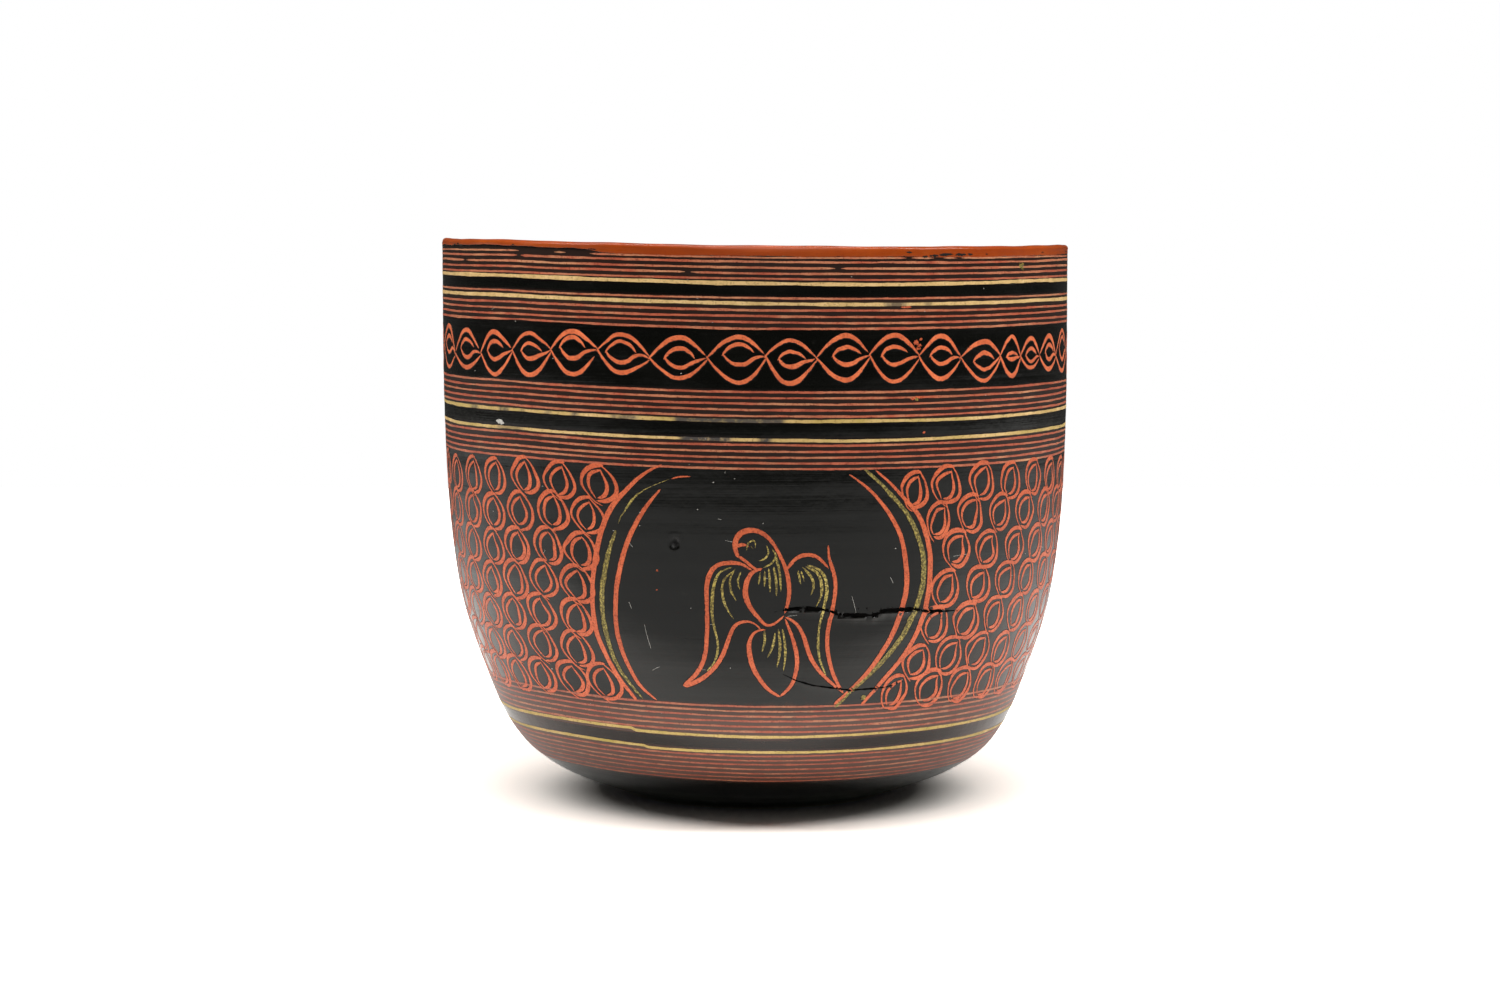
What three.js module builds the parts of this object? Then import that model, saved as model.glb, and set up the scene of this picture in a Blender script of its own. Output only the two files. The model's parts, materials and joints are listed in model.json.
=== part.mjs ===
// A deep round-bottomed lacquer bowl on a coiled bamboo core.
//
// The wall is a laminate. From outside to inside it is a black lacquer shell with its
// hard ground, a core of bamboo splints wound edge to edge from the middle of the base
// to the rim, and a red lacquer lining that turns over the rim and ends as a lip on the
// outside. A solid bamboo hoop closes the core under the lip, and a small disc starts the
// coil in the middle of the base. Nothing moves.
//
// Frame: millimetres, +Z up, origin on the table under the middle of the base.

import * as THREE from "three";
import { mergeVertices } from "three/addons/utils/BufferGeometryUtils.js";

// ---- driving dimensions ----------------------------------------------------
const HEIGHT = 132.8; // table to the top of the rim
const SEGMENTS = 36; // flats round the axis, the same on every piece, so flats nest
const SHELL_T = 1.2; // black lacquer and its ground
const CORE_T = 1.3; // bamboo splint
const LINING_T = 0.85; // red lacquer
const GAP = 0.2; // between the shell and the core
const GAP_IN = 0.4; // between the core and the lining, where the straight splints chord the curve
const LIP_DROP = 2.3; // how far the lining's lip comes down the outside
const SPLINT_W = 5.9; // width of a splint, along the profile
const SPLINT_GAP = 0.3; // between neighbouring turns
const DISC_R = 9.0; // disc that starts the coil
const HOOP_H = 4.0; // height of the rim hoop
const RIM_EDGE = 0.5; // small chamfers on the rim
const BASE_FLAT_R = 24.0; // flat that the bowl stands on

// Outer profile, [radius, height], from the edge of the standing flat to the rim.
const OUTER = [
  [BASE_FLAT_R, 0.0],
  [29.5, 0.6],
  [35.0, 1.8],
  [40.7, 3.6],
  [46.3, 5.9],
  [51.4, 8.8],
  [55.6, 12.3],
  [58.9, 16.7],
  [61.6, 22.0],
  [64.0, 28.3],
  [66.4, 34.8],
  [68.8, 41.6],
  [70.8, 49.0],
  [72.3, 57.8],
  [73.4, 68.0],
  [74.2, 80.0],
  [74.8, 93.0],
  [75.0, 106.0],
  [75.0, 119.0],
  [75.0, HEIGHT],
];

// ---- profile helpers -------------------------------------------------------

// The chain of straight spans from the axis to the rim.
const chain = [[0, 0], ...OUTER];
const offsetChain = (d) => {
  // Offsets the chain inwards by d, meeting neighbouring spans at their bisector.
  const out = [];
  for (let i = 0; i < chain.length; i++) {
    const prev = i > 0 ? chain[i - 1] : null;
    const next = i < chain.length - 1 ? chain[i + 1] : null;
    const here = chain[i];
    const dir = (a, b) => {
      const x = b[0] - a[0],
        z = b[1] - a[1],
        l = Math.hypot(x, z);
      return [x / l, z / l];
    };
    const t1 = prev ? dir(prev, here) : null;
    const t2 = next ? dir(here, next) : null;
    const n = (t) => [-t[1], t[0]]; // towards the inside of the bowl
    if (!t1) out.push([here[0], here[1] + d]);
    else if (!t2) {
      const m = n(t1);
      out.push([here[0] + m[0] * d, here[1] + m[1] * d]);
    } else {
      const a = n(t1),
        b = n(t2),
        k = 1 + a[0] * b[0] + a[1] * b[1];
      out.push([
        here[0] + ((a[0] + b[0]) / k) * d,
        here[1] + ((a[1] + b[1]) / k) * d,
      ]);
    }
  }
  return out;
};

// The length of a chain of points up to each point.
const lengths = (pts) => {
  const s = [0];
  for (let i = 1; i < pts.length; i++)
    s.push(
      s[i - 1] +
        Math.hypot(pts[i][0] - pts[i - 1][0], pts[i][1] - pts[i - 1][1]),
    );
  return s;
};

// Cuts a chain at height z and keeps what is below it.
const below = (pts, z) => {
  const out = [];
  for (let i = 0; i < pts.length; i++) {
    if (pts[i][1] < z - 1e-9) out.push(pts[i]);
    else {
      const a = pts[i - 1],
        b = pts[i],
        t = (z - a[1]) / (b[1] - a[1]);
      out.push([a[0] + (b[0] - a[0]) * t, z]);
      break;
    }
  }
  return out;
};

const lathe = (profile) => {
  const g = new THREE.LatheGeometry(
    profile.map(([r, z]) => new THREE.Vector2(r, z)),
    SEGMENTS,
  );
  g.rotateX(Math.PI / 2); // the lathe's axis is +Y: stand it on +Z
  return g;
};

// ---- layers ----------------------------------------------------------------
const shellIn = offsetChain(SHELL_T);
const coreOut = offsetChain(SHELL_T + GAP);
const coreIn = offsetChain(SHELL_T + GAP + CORE_T);
const liningOut = offsetChain(SHELL_T + GAP + CORE_T + GAP_IN);
const liningIn = offsetChain(SHELL_T + GAP + CORE_T + GAP_IN + LINING_T);

const SHELL_TOP = HEIGHT - LIP_DROP - GAP;
const R_OUT = OUTER[OUTER.length - 1][0];
const R_SHELL_IN = R_OUT - SHELL_T;
const R_CORE_OUT = R_OUT - SHELL_T - GAP;
const R_CORE_IN = R_CORE_OUT - CORE_T;
const R_LINING_OUT = R_CORE_IN - GAP_IN;
const R_LINING_IN = R_LINING_OUT - LINING_T;

// Black lacquer and its ground: a closed cup, open at the top.
const shellProfile = [
  ...below(chain, SHELL_TOP),
  ...below(shellIn, SHELL_TOP).reverse(),
];

// Red lacquer: the lining of the cup, over the rim and down the outside as the lip.
const liningProfile = [
  ...below(liningOut, HEIGHT - RIM_EDGE - LINING_T),
  [R_SHELL_IN, HEIGHT - RIM_EDGE - LINING_T],
  [R_SHELL_IN, HEIGHT - LIP_DROP],
  [R_OUT, HEIGHT - LIP_DROP],
  [R_OUT, HEIGHT - RIM_EDGE],
  [R_OUT - RIM_EDGE, HEIGHT],
  [R_LINING_IN + RIM_EDGE, HEIGHT],
  [R_LINING_IN, HEIGHT - RIM_EDGE],
  ...below(liningIn, HEIGHT - RIM_EDGE - 4.5).reverse(),
];

// The hoop under the lip.
const HOOP_TOP = HEIGHT - RIM_EDGE - LINING_T - GAP;
const hoopProfile = [
  [R_CORE_IN, HOOP_TOP - HOOP_H],
  [R_CORE_OUT, HOOP_TOP - HOOP_H],
  [R_CORE_OUT, HOOP_TOP],
  [R_CORE_IN, HOOP_TOP],
  [R_CORE_IN, HOOP_TOP - HOOP_H],
];

// The disc that starts the coil.
const discProfile = [
  [0, SHELL_T + GAP],
  [DISC_R, SHELL_T + GAP],
  [DISC_R, SHELL_T + GAP + CORE_T],
  [0, SHELL_T + GAP + CORE_T],
];

// ---- the coil --------------------------------------------------------------

// A point of the core at arc length s, on its outer or inner face.
const coreS = lengths(coreOut);
const at = (s, inner) => {
  let i = 1;
  while (i < coreS.length - 1 && coreS[i] < s) i++;
  const t = (s - coreS[i - 1]) / (coreS[i] - coreS[i - 1]);
  const face = inner ? coreIn : coreOut;
  return [
    face[i - 1][0] + (face[i][0] - face[i - 1][0]) * t,
    face[i - 1][1] + (face[i][1] - face[i - 1][1]) * t,
  ];
};

const S_START = DISC_R + SPLINT_GAP;
let sEnd = 0; // where the core's outer face reaches the hoop
{
  const z = HOOP_TOP - HOOP_H - SPLINT_GAP;
  let i = 1;
  while (coreOut[i][1] < z) i++;
  const t = (z - coreOut[i - 1][1]) / (coreOut[i][1] - coreOut[i - 1][1]);
  sEnd = coreS[i - 1] + (coreS[i] - coreS[i - 1]) * t;
}
const TURNS = Math.round((sEnd - S_START) / SPLINT_W);
const PITCH = (sEnd - S_START) / TURNS;

// The coil's edges after a turn of angle a. Its first turn tapers up from the disc and its
// last one tapers off under the hoop, so both ends finish level.
const edges = (a) => {
  const n = a / (2 * Math.PI);
  return [
    Math.max(S_START, S_START + PITCH * (n - 1)) + SPLINT_GAP / 2,
    Math.min(sEnd, S_START + PITCH * n) - SPLINT_GAP / 2,
  ];
};

// One splint: a closed band with square ends, wound from angle a0 to a1.
const splint = (a0, a1) => {
  const step = (2 * Math.PI) / SEGMENTS;
  const angles = [a0];
  for (let k = Math.ceil(a0 / step + 1e-6); k * step < a1 - 1e-6; k++)
    if (k * step - a0 > 0.02 && a1 - k * step > 0.02) angles.push(k * step);
  angles.push(a1);
  const pos = [];
  const index = [];
  // A ring of four corners at each angle. Between two flats' edges the point lies on the flat.
  for (const a of angles) {
    const [lo, hi] = edges(a);
    const k = Math.floor(a / step + 1e-6);
    const f = Math.min(1, Math.max(0, a / step - k));
    const corner = ([r, z]) => {
      const p = (b) => [r * Math.sin(b), -r * Math.cos(b)];
      const [x0, y0] = p(k * step);
      const [x1, y1] = p((k + 1) * step);
      return [x0 + (x1 - x0) * f, y0 + (y1 - y0) * f, z];
    };
    for (const p of [
      corner(at(lo, false)),
      corner(at(hi, false)),
      corner(at(hi, true)),
      corner(at(lo, true)),
    ])
      pos.push(...p);
  }
  const quad = (a, b, c, d) => index.push(a, b, c, a, c, d);
  for (let i = 0; i < angles.length - 1; i++)
    for (let j = 0; j < 4; j++) {
      const a = i * 4 + j,
        b = i * 4 + ((j + 1) % 4);
      quad(a, a + 4, b + 4, b);
    }
  const last = (angles.length - 1) * 4;
  quad(0, 1, 2, 3);
  quad(last + 3, last + 2, last + 1, last);
  const g = new THREE.BufferGeometry();
  g.setAttribute("position", new THREE.Float32BufferAttribute(pos, 3));
  g.setIndex(index);
  g.computeVertexNormals();
  return g;
};

// Splints are about a metre long: many turns in the base, two at the wall.
const splintTurns = [5, 3, 3];
{
  let left = TURNS + 1 - splintTurns.reduce((a, b) => a + b, 0);
  while (left >= 4) {
    splintTurns.push(2);
    left -= 2;
  }
  splintTurns.push(left);
}

// ---- the object ------------------------------------------------------------
const black = new THREE.MeshStandardMaterial({
  color: 0x0c0c0b,
  roughness: 0.28,
  metalness: 0,
});
const red = new THREE.MeshStandardMaterial({
  color: 0xb8400f,
  roughness: 0.32,
  metalness: 0,
});
const bamboo = new THREE.MeshStandardMaterial({
  color: 0xb48c55,
  roughness: 0.8,
  metalness: 0,
});

const bowl = new THREE.Group();
const add = (name, geometry, material) => {
  geometry.deleteAttribute("uv");
  geometry.deleteAttribute("normal");
  const merged = mergeVertices(geometry, 1e-4);
  merged.computeVertexNormals();
  const mesh = new THREE.Mesh(merged, material);
  mesh.name = name;
  bowl.add(mesh);
  return mesh;
};

add("black_lacquer_shell", lathe(shellProfile), black);
add("red_lacquer_lining", lathe(liningProfile), red);
add("rim_hoop", lathe(hoopProfile), bamboo);
add("coil_start_disc", lathe(discProfile), bamboo);

const FIRST = (2 * Math.PI * 1.0) / PITCH; // where the first turn is a millimetre wide
const LAST = 2 * Math.PI * (TURNS + 1) - FIRST;
let turned = 0;
splintTurns.forEach((n, i) => {
  const a0 = i === 0 ? FIRST : 2 * Math.PI * turned;
  turned += n;
  const last = i === splintTurns.length - 1;
  const a1 = last ? LAST : 2 * Math.PI * turned;
  // Butt joints: the next splint starts a little after this one's end.
  const [lo] = edges(a1);
  const r = at(Math.min(lo, sEnd - 0.5), false)[0];
  const cut = last ? 0 : SPLINT_GAP / r;
  add(
    "bamboo_splint_" + String(i + 1).padStart(2, "0"),
    splint(a0, a1 - cut),
    bamboo,
  );
});

export default bowl;
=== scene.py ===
import json
import math

import bpy
import numpy as np
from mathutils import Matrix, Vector

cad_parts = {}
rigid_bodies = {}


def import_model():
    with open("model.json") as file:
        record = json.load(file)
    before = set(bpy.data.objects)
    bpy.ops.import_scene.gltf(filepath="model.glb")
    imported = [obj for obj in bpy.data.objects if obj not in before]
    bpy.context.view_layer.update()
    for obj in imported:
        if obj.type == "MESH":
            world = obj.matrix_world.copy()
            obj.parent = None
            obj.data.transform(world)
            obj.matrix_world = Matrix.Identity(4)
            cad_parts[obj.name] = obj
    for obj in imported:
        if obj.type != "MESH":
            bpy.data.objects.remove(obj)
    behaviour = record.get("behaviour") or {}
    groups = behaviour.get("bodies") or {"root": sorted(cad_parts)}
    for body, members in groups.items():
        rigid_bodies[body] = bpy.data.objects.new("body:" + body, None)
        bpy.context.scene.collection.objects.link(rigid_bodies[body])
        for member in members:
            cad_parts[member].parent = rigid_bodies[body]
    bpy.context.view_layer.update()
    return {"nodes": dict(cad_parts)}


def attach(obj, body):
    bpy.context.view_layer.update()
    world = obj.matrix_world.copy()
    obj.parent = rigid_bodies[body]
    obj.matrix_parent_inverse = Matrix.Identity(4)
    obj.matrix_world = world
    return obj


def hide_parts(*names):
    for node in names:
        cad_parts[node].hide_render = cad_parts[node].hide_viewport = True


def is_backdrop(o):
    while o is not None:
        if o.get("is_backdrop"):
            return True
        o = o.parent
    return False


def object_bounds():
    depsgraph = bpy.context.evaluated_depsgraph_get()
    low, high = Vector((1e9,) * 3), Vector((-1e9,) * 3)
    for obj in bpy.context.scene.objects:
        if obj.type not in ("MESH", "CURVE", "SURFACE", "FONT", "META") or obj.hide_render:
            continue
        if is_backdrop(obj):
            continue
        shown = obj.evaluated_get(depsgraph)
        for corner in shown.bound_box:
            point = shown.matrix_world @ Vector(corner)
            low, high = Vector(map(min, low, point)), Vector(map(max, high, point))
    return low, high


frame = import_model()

# ---------------------------------------------------------------------------
# The turned profile, in millimetres, as in the CAD. t is the length along it
# from the middle of the base.
# ---------------------------------------------------------------------------
HEIGHT = 132.8
PROFILE = np.array(
    [
        (0, 0), (12, 0), (24.0, 0.0), (29.5, 0.6), (35.0, 1.8), (40.7, 3.6),
        (46.3, 5.9), (51.4, 8.8), (55.6, 12.3), (58.9, 16.7), (61.6, 22.0),
        (64.0, 28.3), (66.4, 34.8), (68.8, 41.6), (70.8, 49.0), (72.3, 57.8),
        (73.4, 68.0), (74.2, 80.0), (74.8, 93.0), (75.0, 106.0), (75.0, 119.0),
        (75.0, HEIGHT),
    ],
    float,
)
FLAT = 24.0
SHELL_T, GAP, CORE_T, GAP_IN, LINING_T = 1.2, 0.2, 1.3, 0.4, 0.85
WALL = SHELL_T + GAP + CORE_T + GAP_IN + LINING_T


def natural_spline(x, y):
    n, h = len(x), np.diff(x)
    a, b = np.zeros((n, n)), np.zeros(n)
    a[0, 0] = a[-1, -1] = 1
    for i in range(1, n - 1):
        a[i, i - 1 : i + 2] = h[i - 1], 2 * (h[i - 1] + h[i]), h[i]
        b[i] = 6 * ((y[i + 1] - y[i]) / h[i] - (y[i] - y[i - 1]) / h[i - 1])
    m = np.linalg.solve(a, b)

    def f(q):
        q = np.asarray(q, float)
        i = np.clip(np.searchsorted(x, q) - 1, 0, n - 2)
        t, hh = q - x[i], h[i]
        return (
            y[i]
            + t * ((y[i + 1] - y[i]) / hh - hh * (2 * m[i] + m[i + 1]) / 6)
            + t * t * m[i] / 2
            + t**3 * (m[i + 1] - m[i]) / (6 * hh)
        )

    return f


_s = np.r_[0, np.cumsum(np.hypot(*np.diff(PROFILE, axis=0).T))]
LENGTH = _s[-1]
T = np.linspace(0, LENGTH, 4001)
RR = natural_spline(_s, PROFILE[:, 0])(T)
ZZ = np.maximum(natural_spline(_s, PROFILE[:, 1])(T), 0)
ZZ[T < FLAT] = 0
RR[T < FLAT] = T[T < FLAT]
_dr, _dz = np.gradient(RR, T), np.gradient(ZZ, T)
_l = np.hypot(_dr, _dz)
NR, NZ = _dz / _l, -_dr / _l  # outward


def smooth(x):
    x = np.clip(x, 0, 1)
    return x * x * (3 - 2 * x)


def lut(table, t):
    return np.interp(t, T, table)


_up = ZZ > 0.001


def t_of_z(z):
    return np.interp(z, ZZ[_up], T[_up])


def r_of_z(z):
    return np.interp(z, ZZ[_up], RR[_up])


# The bowl is not true: its rim dips front and back, leans a little to the right, and
# the base has crept off centre.
def place(phi, r, z):
    """Points of the true bowl, in mm, at angle phi from the front, moved as the real one has warped."""
    z = np.asarray(z, float) + 0 * phi
    fuller = 0.75 * np.exp(-(((z - 30) / 24) ** 2)) + 0.2 * np.exp(-(((z - 72) / 16) ** 2))
    r = r + fuller * np.clip(r / 30, 0, 1)
    x = r * np.sin(phi) + 0.6 * np.clip(1 - z / 50, 0, 1) ** 2
    y = -r * np.cos(phi)
    w = smooth(z / 14)
    sag = (
        -0.0145 * x
        - 0.5 * np.cos(2 * phi)
        - 0.65 * smooth((-np.sin(phi) - 0.70) / 0.30)
        - 1.15 * smooth((y + 35) / 110) * np.clip(z / HEIGHT, 0, 1) ** 2
    )
    return np.stack([x, y, z + w * sag], axis=-1)


# ---------------------------------------------------------------------------
# Cracks. Each follows a joint between two splints of the coil.
# ---------------------------------------------------------------------------
class Crack:
    def __init__(self, points, width, lift, reach):
        a = np.array(points, float)
        self.phi = np.radians(a[:, 0])
        self.t = t_of_z(a[:, 1])
        self.width, self.lift, self.reach = width, lift, reach
        self.mean = self.t.mean()

    def at(self, phi):
        """(t of the crack, how far open it is from 0 to 1) at phi."""
        t = np.interp(phi, self.phi, self.t)
        a = (phi - self.phi[0]) / math.radians(5.0)
        b = (self.phi[-1] - phi) / math.radians(7.0)
        rough = 0.75 + 0.25 * np.sin(phi * 61 + 1.3) * np.sin(phi * 143)
        return t, smooth(np.minimum(a, b)) ** 0.6 * rough

    def rise(self, phi, t):
        """How far the lacquer stands up or sinks at phi, t."""
        tc, on = self.at(phi)
        d = tc - t  # above 0 below the crack
        half = self.width / 2 * np.maximum(on, 0.05)
        up = np.where(
            d > 0,
            self.lift * (1 - smooth((d - half) / self.reach)),
            0.22 * self.lift * np.exp(-np.abs(d) / 0.5),
        )
        return np.where(np.abs(d) < half * 0.98, -0.75 * on, up * on) * (on > 0)


CRACKS = [
    Crack(
        [(3.1, 51.5), (4.9, 52.0), (6.8, 52.4), (9.3, 52.5), (11.8, 52.2), (13.7, 51.6), (15.0, 50.9),
         (19.0, 50.7), (21.1, 50.5), (22.1, 50.6), (23.0, 51.2), (24.3, 51.6), (27.0, 51.5), (29.1, 51.6),
         (32.4, 50.8), (37.1, 50.4), (41.4, 50.2)],
        0.50, 0.38, 1.8,
    ),
    Crack(
        [(4.9, 37.3), (7.9, 35.6), (11.0, 34.5), (14.9, 33.8), (18.5, 33.1), (23.0, 33.2), (25.5, 33.3),
         (27.7, 33.7), (30.2, 34.5)],
        0.30, 0.17, 1.4,
    ),
    Crack(
        [(-151.0, 69.6), (-146.0, 69.2), (-140.0, 69.5), (-133.0, 69.0), (-127.0, 69.3), (-121.0, 68.8)],
        0.20, 0.14, 1.5,
    ),
]
CREASES = [
    ([(5.4, 50.2), (8.4, 49.8), (13.7, 49.5), (20.6, 49.1), (27.4, 48.9), (31.7, 48.9)], 0.09),
    ([(28.2, 46.8), (30.8, 46.6), (33.4, 46.2)], 0.12),
    ([(-14.9, 45.1), (-9.0, 44.9), (-4.0, 45.3)], 0.05),
]


def relief(phi, t):
    """Small shape of the lacquer over the coil: faint ridges of the splints, hand unevenness, cracks."""
    k = (t - phi * 5.9 / (2 * math.pi)) * 2 * math.pi / 5.9
    z = lut(ZZ, t)
    h = 0.016 * np.cos(k) * smooth(z / 10)
    h = h + smooth(z / 30) * (
        0.05 * np.sin(3 * phi + 0.7 + z / 21)
        + 0.035 * np.sin(7 * phi + 2.1 - z / 17)
        + 0.018 * np.sin(17 * phi + z / 9)
    )
    for c in CRACKS:
        h = h + c.rise(phi, t)
    pit = np.hypot((phi - math.radians(-14.2)) * 73.2, (t - t_of_z(66.6)))
    return h - 0.8 * np.exp(-((pit / 0.85) ** 4)) + 0.06 * np.exp(-(((pit - 1.5) / 0.5) ** 2))


def outside(phi, t, h=0.0):
    """Points on the outside at phi, t, raised by h."""
    phi, t = np.asarray(phi, float), np.asarray(t, float)
    h = h + relief(phi, t)
    return place(phi, lut(RR, t) + h * lut(NR, t), lut(ZZ, t) + h * lut(NZ, t))


# Lower edge of the lip's paint, in z, round the bowl.
def lip_edge(phi):
    return (
        130.50
        + 0.85 * smooth((-phi - 0.42) / 0.16) * smooth((phi + 2.2) / 0.5)
        + 0.10 * np.sin(5 * phi + 0.4)
        + 0.07 * np.sin(13 * phi + 1.9)
        + 0.05 * np.sin(31 * phi)
        + 0.03 * np.sin(83 * phi + 0.5)
    )


# ---------------------------------------------------------------------------
# Mesh making
# ---------------------------------------------------------------------------
def mesh_object(name, verts_mm, quads, tris=None, material=None, attributes=None, smooth_shade=True, sharp=None):
    me = bpy.data.meshes.new(name)
    v = np.asarray(verts_mm, np.float64).reshape(-1, 3) / 1000.0
    me.vertices.add(len(v))
    me.vertices.foreach_set("co", v.astype(np.float32).ravel())
    q = np.asarray(quads, np.int32).reshape(-1, 4)
    t3 = np.asarray(tris if tris is not None else [], np.int32).reshape(-1, 3)
    me.loops.add(q.size + t3.size)
    me.loops.foreach_set("vertex_index", np.r_[q.ravel(), t3.ravel()])
    me.polygons.add(len(q) + len(t3))
    me.polygons.foreach_set(
        "loop_start",
        np.r_[np.arange(len(q)) * 4, len(q) * 4 + np.arange(len(t3)) * 3].astype(np.int32),
    )
    me.update(calc_edges=True)
    me.validate()
    me.polygons.foreach_set("use_smooth", np.full(len(me.polygons), smooth_shade))
    for key, values in (attributes or {}).items():
        a = me.attributes.new(key, "FLOAT", "POINT")
        a.data.foreach_set("value", np.asarray(values, np.float32).ravel())
    if sharp:
        me.set_sharp_from_angle(angle=math.radians(sharp))
    me.update()
    ob = bpy.data.objects.new(name, me)
    bpy.context.scene.collection.objects.link(ob)
    if material:
        me.materials.append(material)
    return ob


def on_root(ob, replaces=()):
    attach(ob, "root")
    if replaces:
        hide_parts(*replaces)
    return ob


def turned(name, rows, phi, material, attributes=None, sharp=None):
    """A closed skin of revolution: rows of points from one pole to the other, given as arrays (n, 3) over phi; the first and last are single points."""
    n = len(phi)
    body = rows[1:-1]
    verts = np.concatenate([rows[0][None, :]] + list(body) + [rows[-1][None, :]])
    i = np.arange(n)
    j = (i + 1) % n
    quads = []
    for k in range(len(body) - 1):
        a = 1 + k * n
        quads.append(np.stack([a + i, a + j, a + n + j, a + n + i], 1))
    quads = np.concatenate(quads)
    a, last = 1, 1 + (len(body) - 1) * n
    tris = np.concatenate(
        [
            np.stack([np.zeros(n, int), a + j, a + i], 1),
            np.stack([np.full(n, len(verts) - 1), last + i, last + j], 1),
        ]
    )
    return mesh_object(name, verts, quads, tris, material, attributes, sharp=sharp)


# ---------------------------------------------------------------------------
# Materials
# ---------------------------------------------------------------------------
class Nodes:
    """A material's node tree, with short calls."""

    def __init__(self, name):
        self.m = bpy.data.materials.new(name)
        self.m.use_nodes = True
        self.t = self.m.node_tree
        self.t.nodes.clear()
        self.out = self.t.nodes.new("ShaderNodeOutputMaterial")
        self.b = self.t.nodes.new("ShaderNodeBsdfPrincipled")
        self.link(self.b.outputs[0], self.out.inputs[0])
        self.c = self.t.nodes.new("ShaderNodeTexCoord").outputs["Object"]

    def link(self, a, b):
        self.t.links.new(a, b)

    def add(self, kind, **inputs):
        n = self.t.nodes.new(kind)
        for k, v in inputs.items():
            s = n.inputs[k.replace("_", " ")] if not k.startswith("i") or not k[1:].isdigit() else n.inputs[int(k[1:])]
            if isinstance(v, bpy.types.NodeSocket):
                self.link(v, s)
            else:
                s.default_value = v
        return n

    def scaled(self, x, y, z, offset=(0, 0, 0)):
        n = self.add("ShaderNodeMapping", Vector=self.c)
        n.inputs["Scale"].default_value = (x, y, z)
        n.inputs["Location"].default_value = offset
        return n.outputs[0]

    def noise(self, vector, scale, detail=3.0, rough=0.55, distortion=0.0):
        n = self.add("ShaderNodeTexNoise", Vector=vector, Scale=scale, Detail=detail, Roughness=rough, Distortion=distortion)
        return n.outputs[0]

    def ramp(self, value, stops, ease="LINEAR"):
        n = self.add("ShaderNodeValToRGB", Fac=value)
        r = n.color_ramp
        r.interpolation = ease
        while len(r.elements) > 1:
            r.elements.remove(r.elements[-1])
        r.elements[0].position = stops[0][0]
        r.elements[0].color = self.rgba(stops[0][1])
        for p, c in stops[1:]:
            r.elements.new(p).color = self.rgba(c)
        return n.outputs[0]

    @staticmethod
    def rgba(c):
        return (c, c, c, 1) if np.isscalar(c) else (*c, 1) if len(c) == 3 else c

    def mix(self, fac, a, b, blend="MIX"):
        n = self.t.nodes.new("ShaderNodeMix")
        n.data_type = "RGBA"
        n.blend_type = blend
        for s, v in ((n.inputs[0], fac), (n.inputs[6], a), (n.inputs[7], b)):
            if isinstance(v, bpy.types.NodeSocket):
                self.link(v, s)
            else:
                s.default_value = v if s == n.inputs[0] else self.rgba(v)
        return n.outputs[2]

    def math(self, op, a, b=0.0, clamp=False):
        n = self.t.nodes.new("ShaderNodeMath")
        n.operation = op
        n.use_clamp = clamp
        for s, v in ((n.inputs[0], a), (n.inputs[1], b)):
            if isinstance(v, bpy.types.NodeSocket):
                self.link(v, s)
            else:
                s.default_value = v
        return n.outputs[0]

    def attribute(self, name):
        n = self.t.nodes.new("ShaderNodeAttribute")
        n.attribute_name = name
        return n.outputs["Fac"]

    def bump(self, height, distance, strength=1.0, normal=None):
        n = self.add("ShaderNodeBump", Height=height)
        n.inputs["Strength"].default_value = strength
        n.inputs["Distance"].default_value = distance
        if normal is not None:
            self.link(normal, n.inputs["Normal"])
        return n.outputs[0]

    def done(self, color, rough, normal=None, **fixed):
        b = self.b
        for s, v in ((b.inputs["Base Color"], color), (b.inputs["Roughness"], rough)):
            if isinstance(v, bpy.types.NodeSocket):
                self.link(v, s)
            else:
                s.default_value = v
        if normal is not None:
            self.link(normal, b.inputs["Normal"])
        for k, v in fixed.items():
            b.inputs[k.replace("_", " ")].default_value = v
        return self.m


def black_lacquer():
    n = Nodes("black_lacquer")
    fine = n.noise(n.scaled(14, 14, 900), 1.0, 4.0, 0.6)  # level strokes of the polishing
    cloud = n.noise(n.scaled(26, 26, 40), 1.0, 4.0, 0.6)
    dust = n.noise(n.c, 900.0, 2.0, 0.5)
    patch = n.noise(n.scaled(45, 45, 150, (3.1, 1.7, 0)), 1.0, 5.0, 0.65)
    stain = n.attribute("stain")
    crack = n.attribute("crack")
    wear = n.attribute("wear")
    base = n.ramp(cloud, [(0.3, (0.0010, 0.0012, 0.0008)), (0.7, (0.0028, 0.0029, 0.0021))])
    base = n.mix(n.ramp(dust, [(0.66, 0.0), (0.8, 0.30)]), base, (0.022, 0.022, 0.019))
    base = n.mix(stain, base, (0.0155, 0.0040, 0.0010))
    # Painted sheen: a pale veil standing in for the floor's reflection, on the lower band and on the flanks seen
    # edge-on
    base = n.mix(n.attribute("rubbed"), base, (0.085, 0.045, 0.034))
    # wear: real wear at the foot; on the shell it also carries a painted highlight strip under the first crack
    base = n.mix(wear, base, (0.055, 0.043, 0.032))
    # Painted shade: the crack openings and the pit are near-black and matte, standing in for the shadow inside them
    base = n.mix(crack, base, (0.0012, 0.0011, 0.001))
    rough = n.ramp(patch, [(0.32, 0.12), (0.52, 0.16), (0.72, 0.25)])
    rough = n.mix(n.ramp(fine, [(0.35, 0.0), (0.7, 0.30)]), rough, 0.32)
    rough = n.mix(stain, rough, 0.42)
    rough = n.mix(wear, rough, 0.6)
    rough = n.mix(crack, rough, 0.9)
    b1 = n.bump(fine, 0.00005, 0.6)
    b2 = n.bump(n.noise(n.c, 170.0, 3.0), 0.00018, 0.4, b1)
    b3 = n.bump(dust, 0.00002, 0.3, b2)
    return n.done(base, rough, b3, Specular_IOR_Level=0.32)


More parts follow.
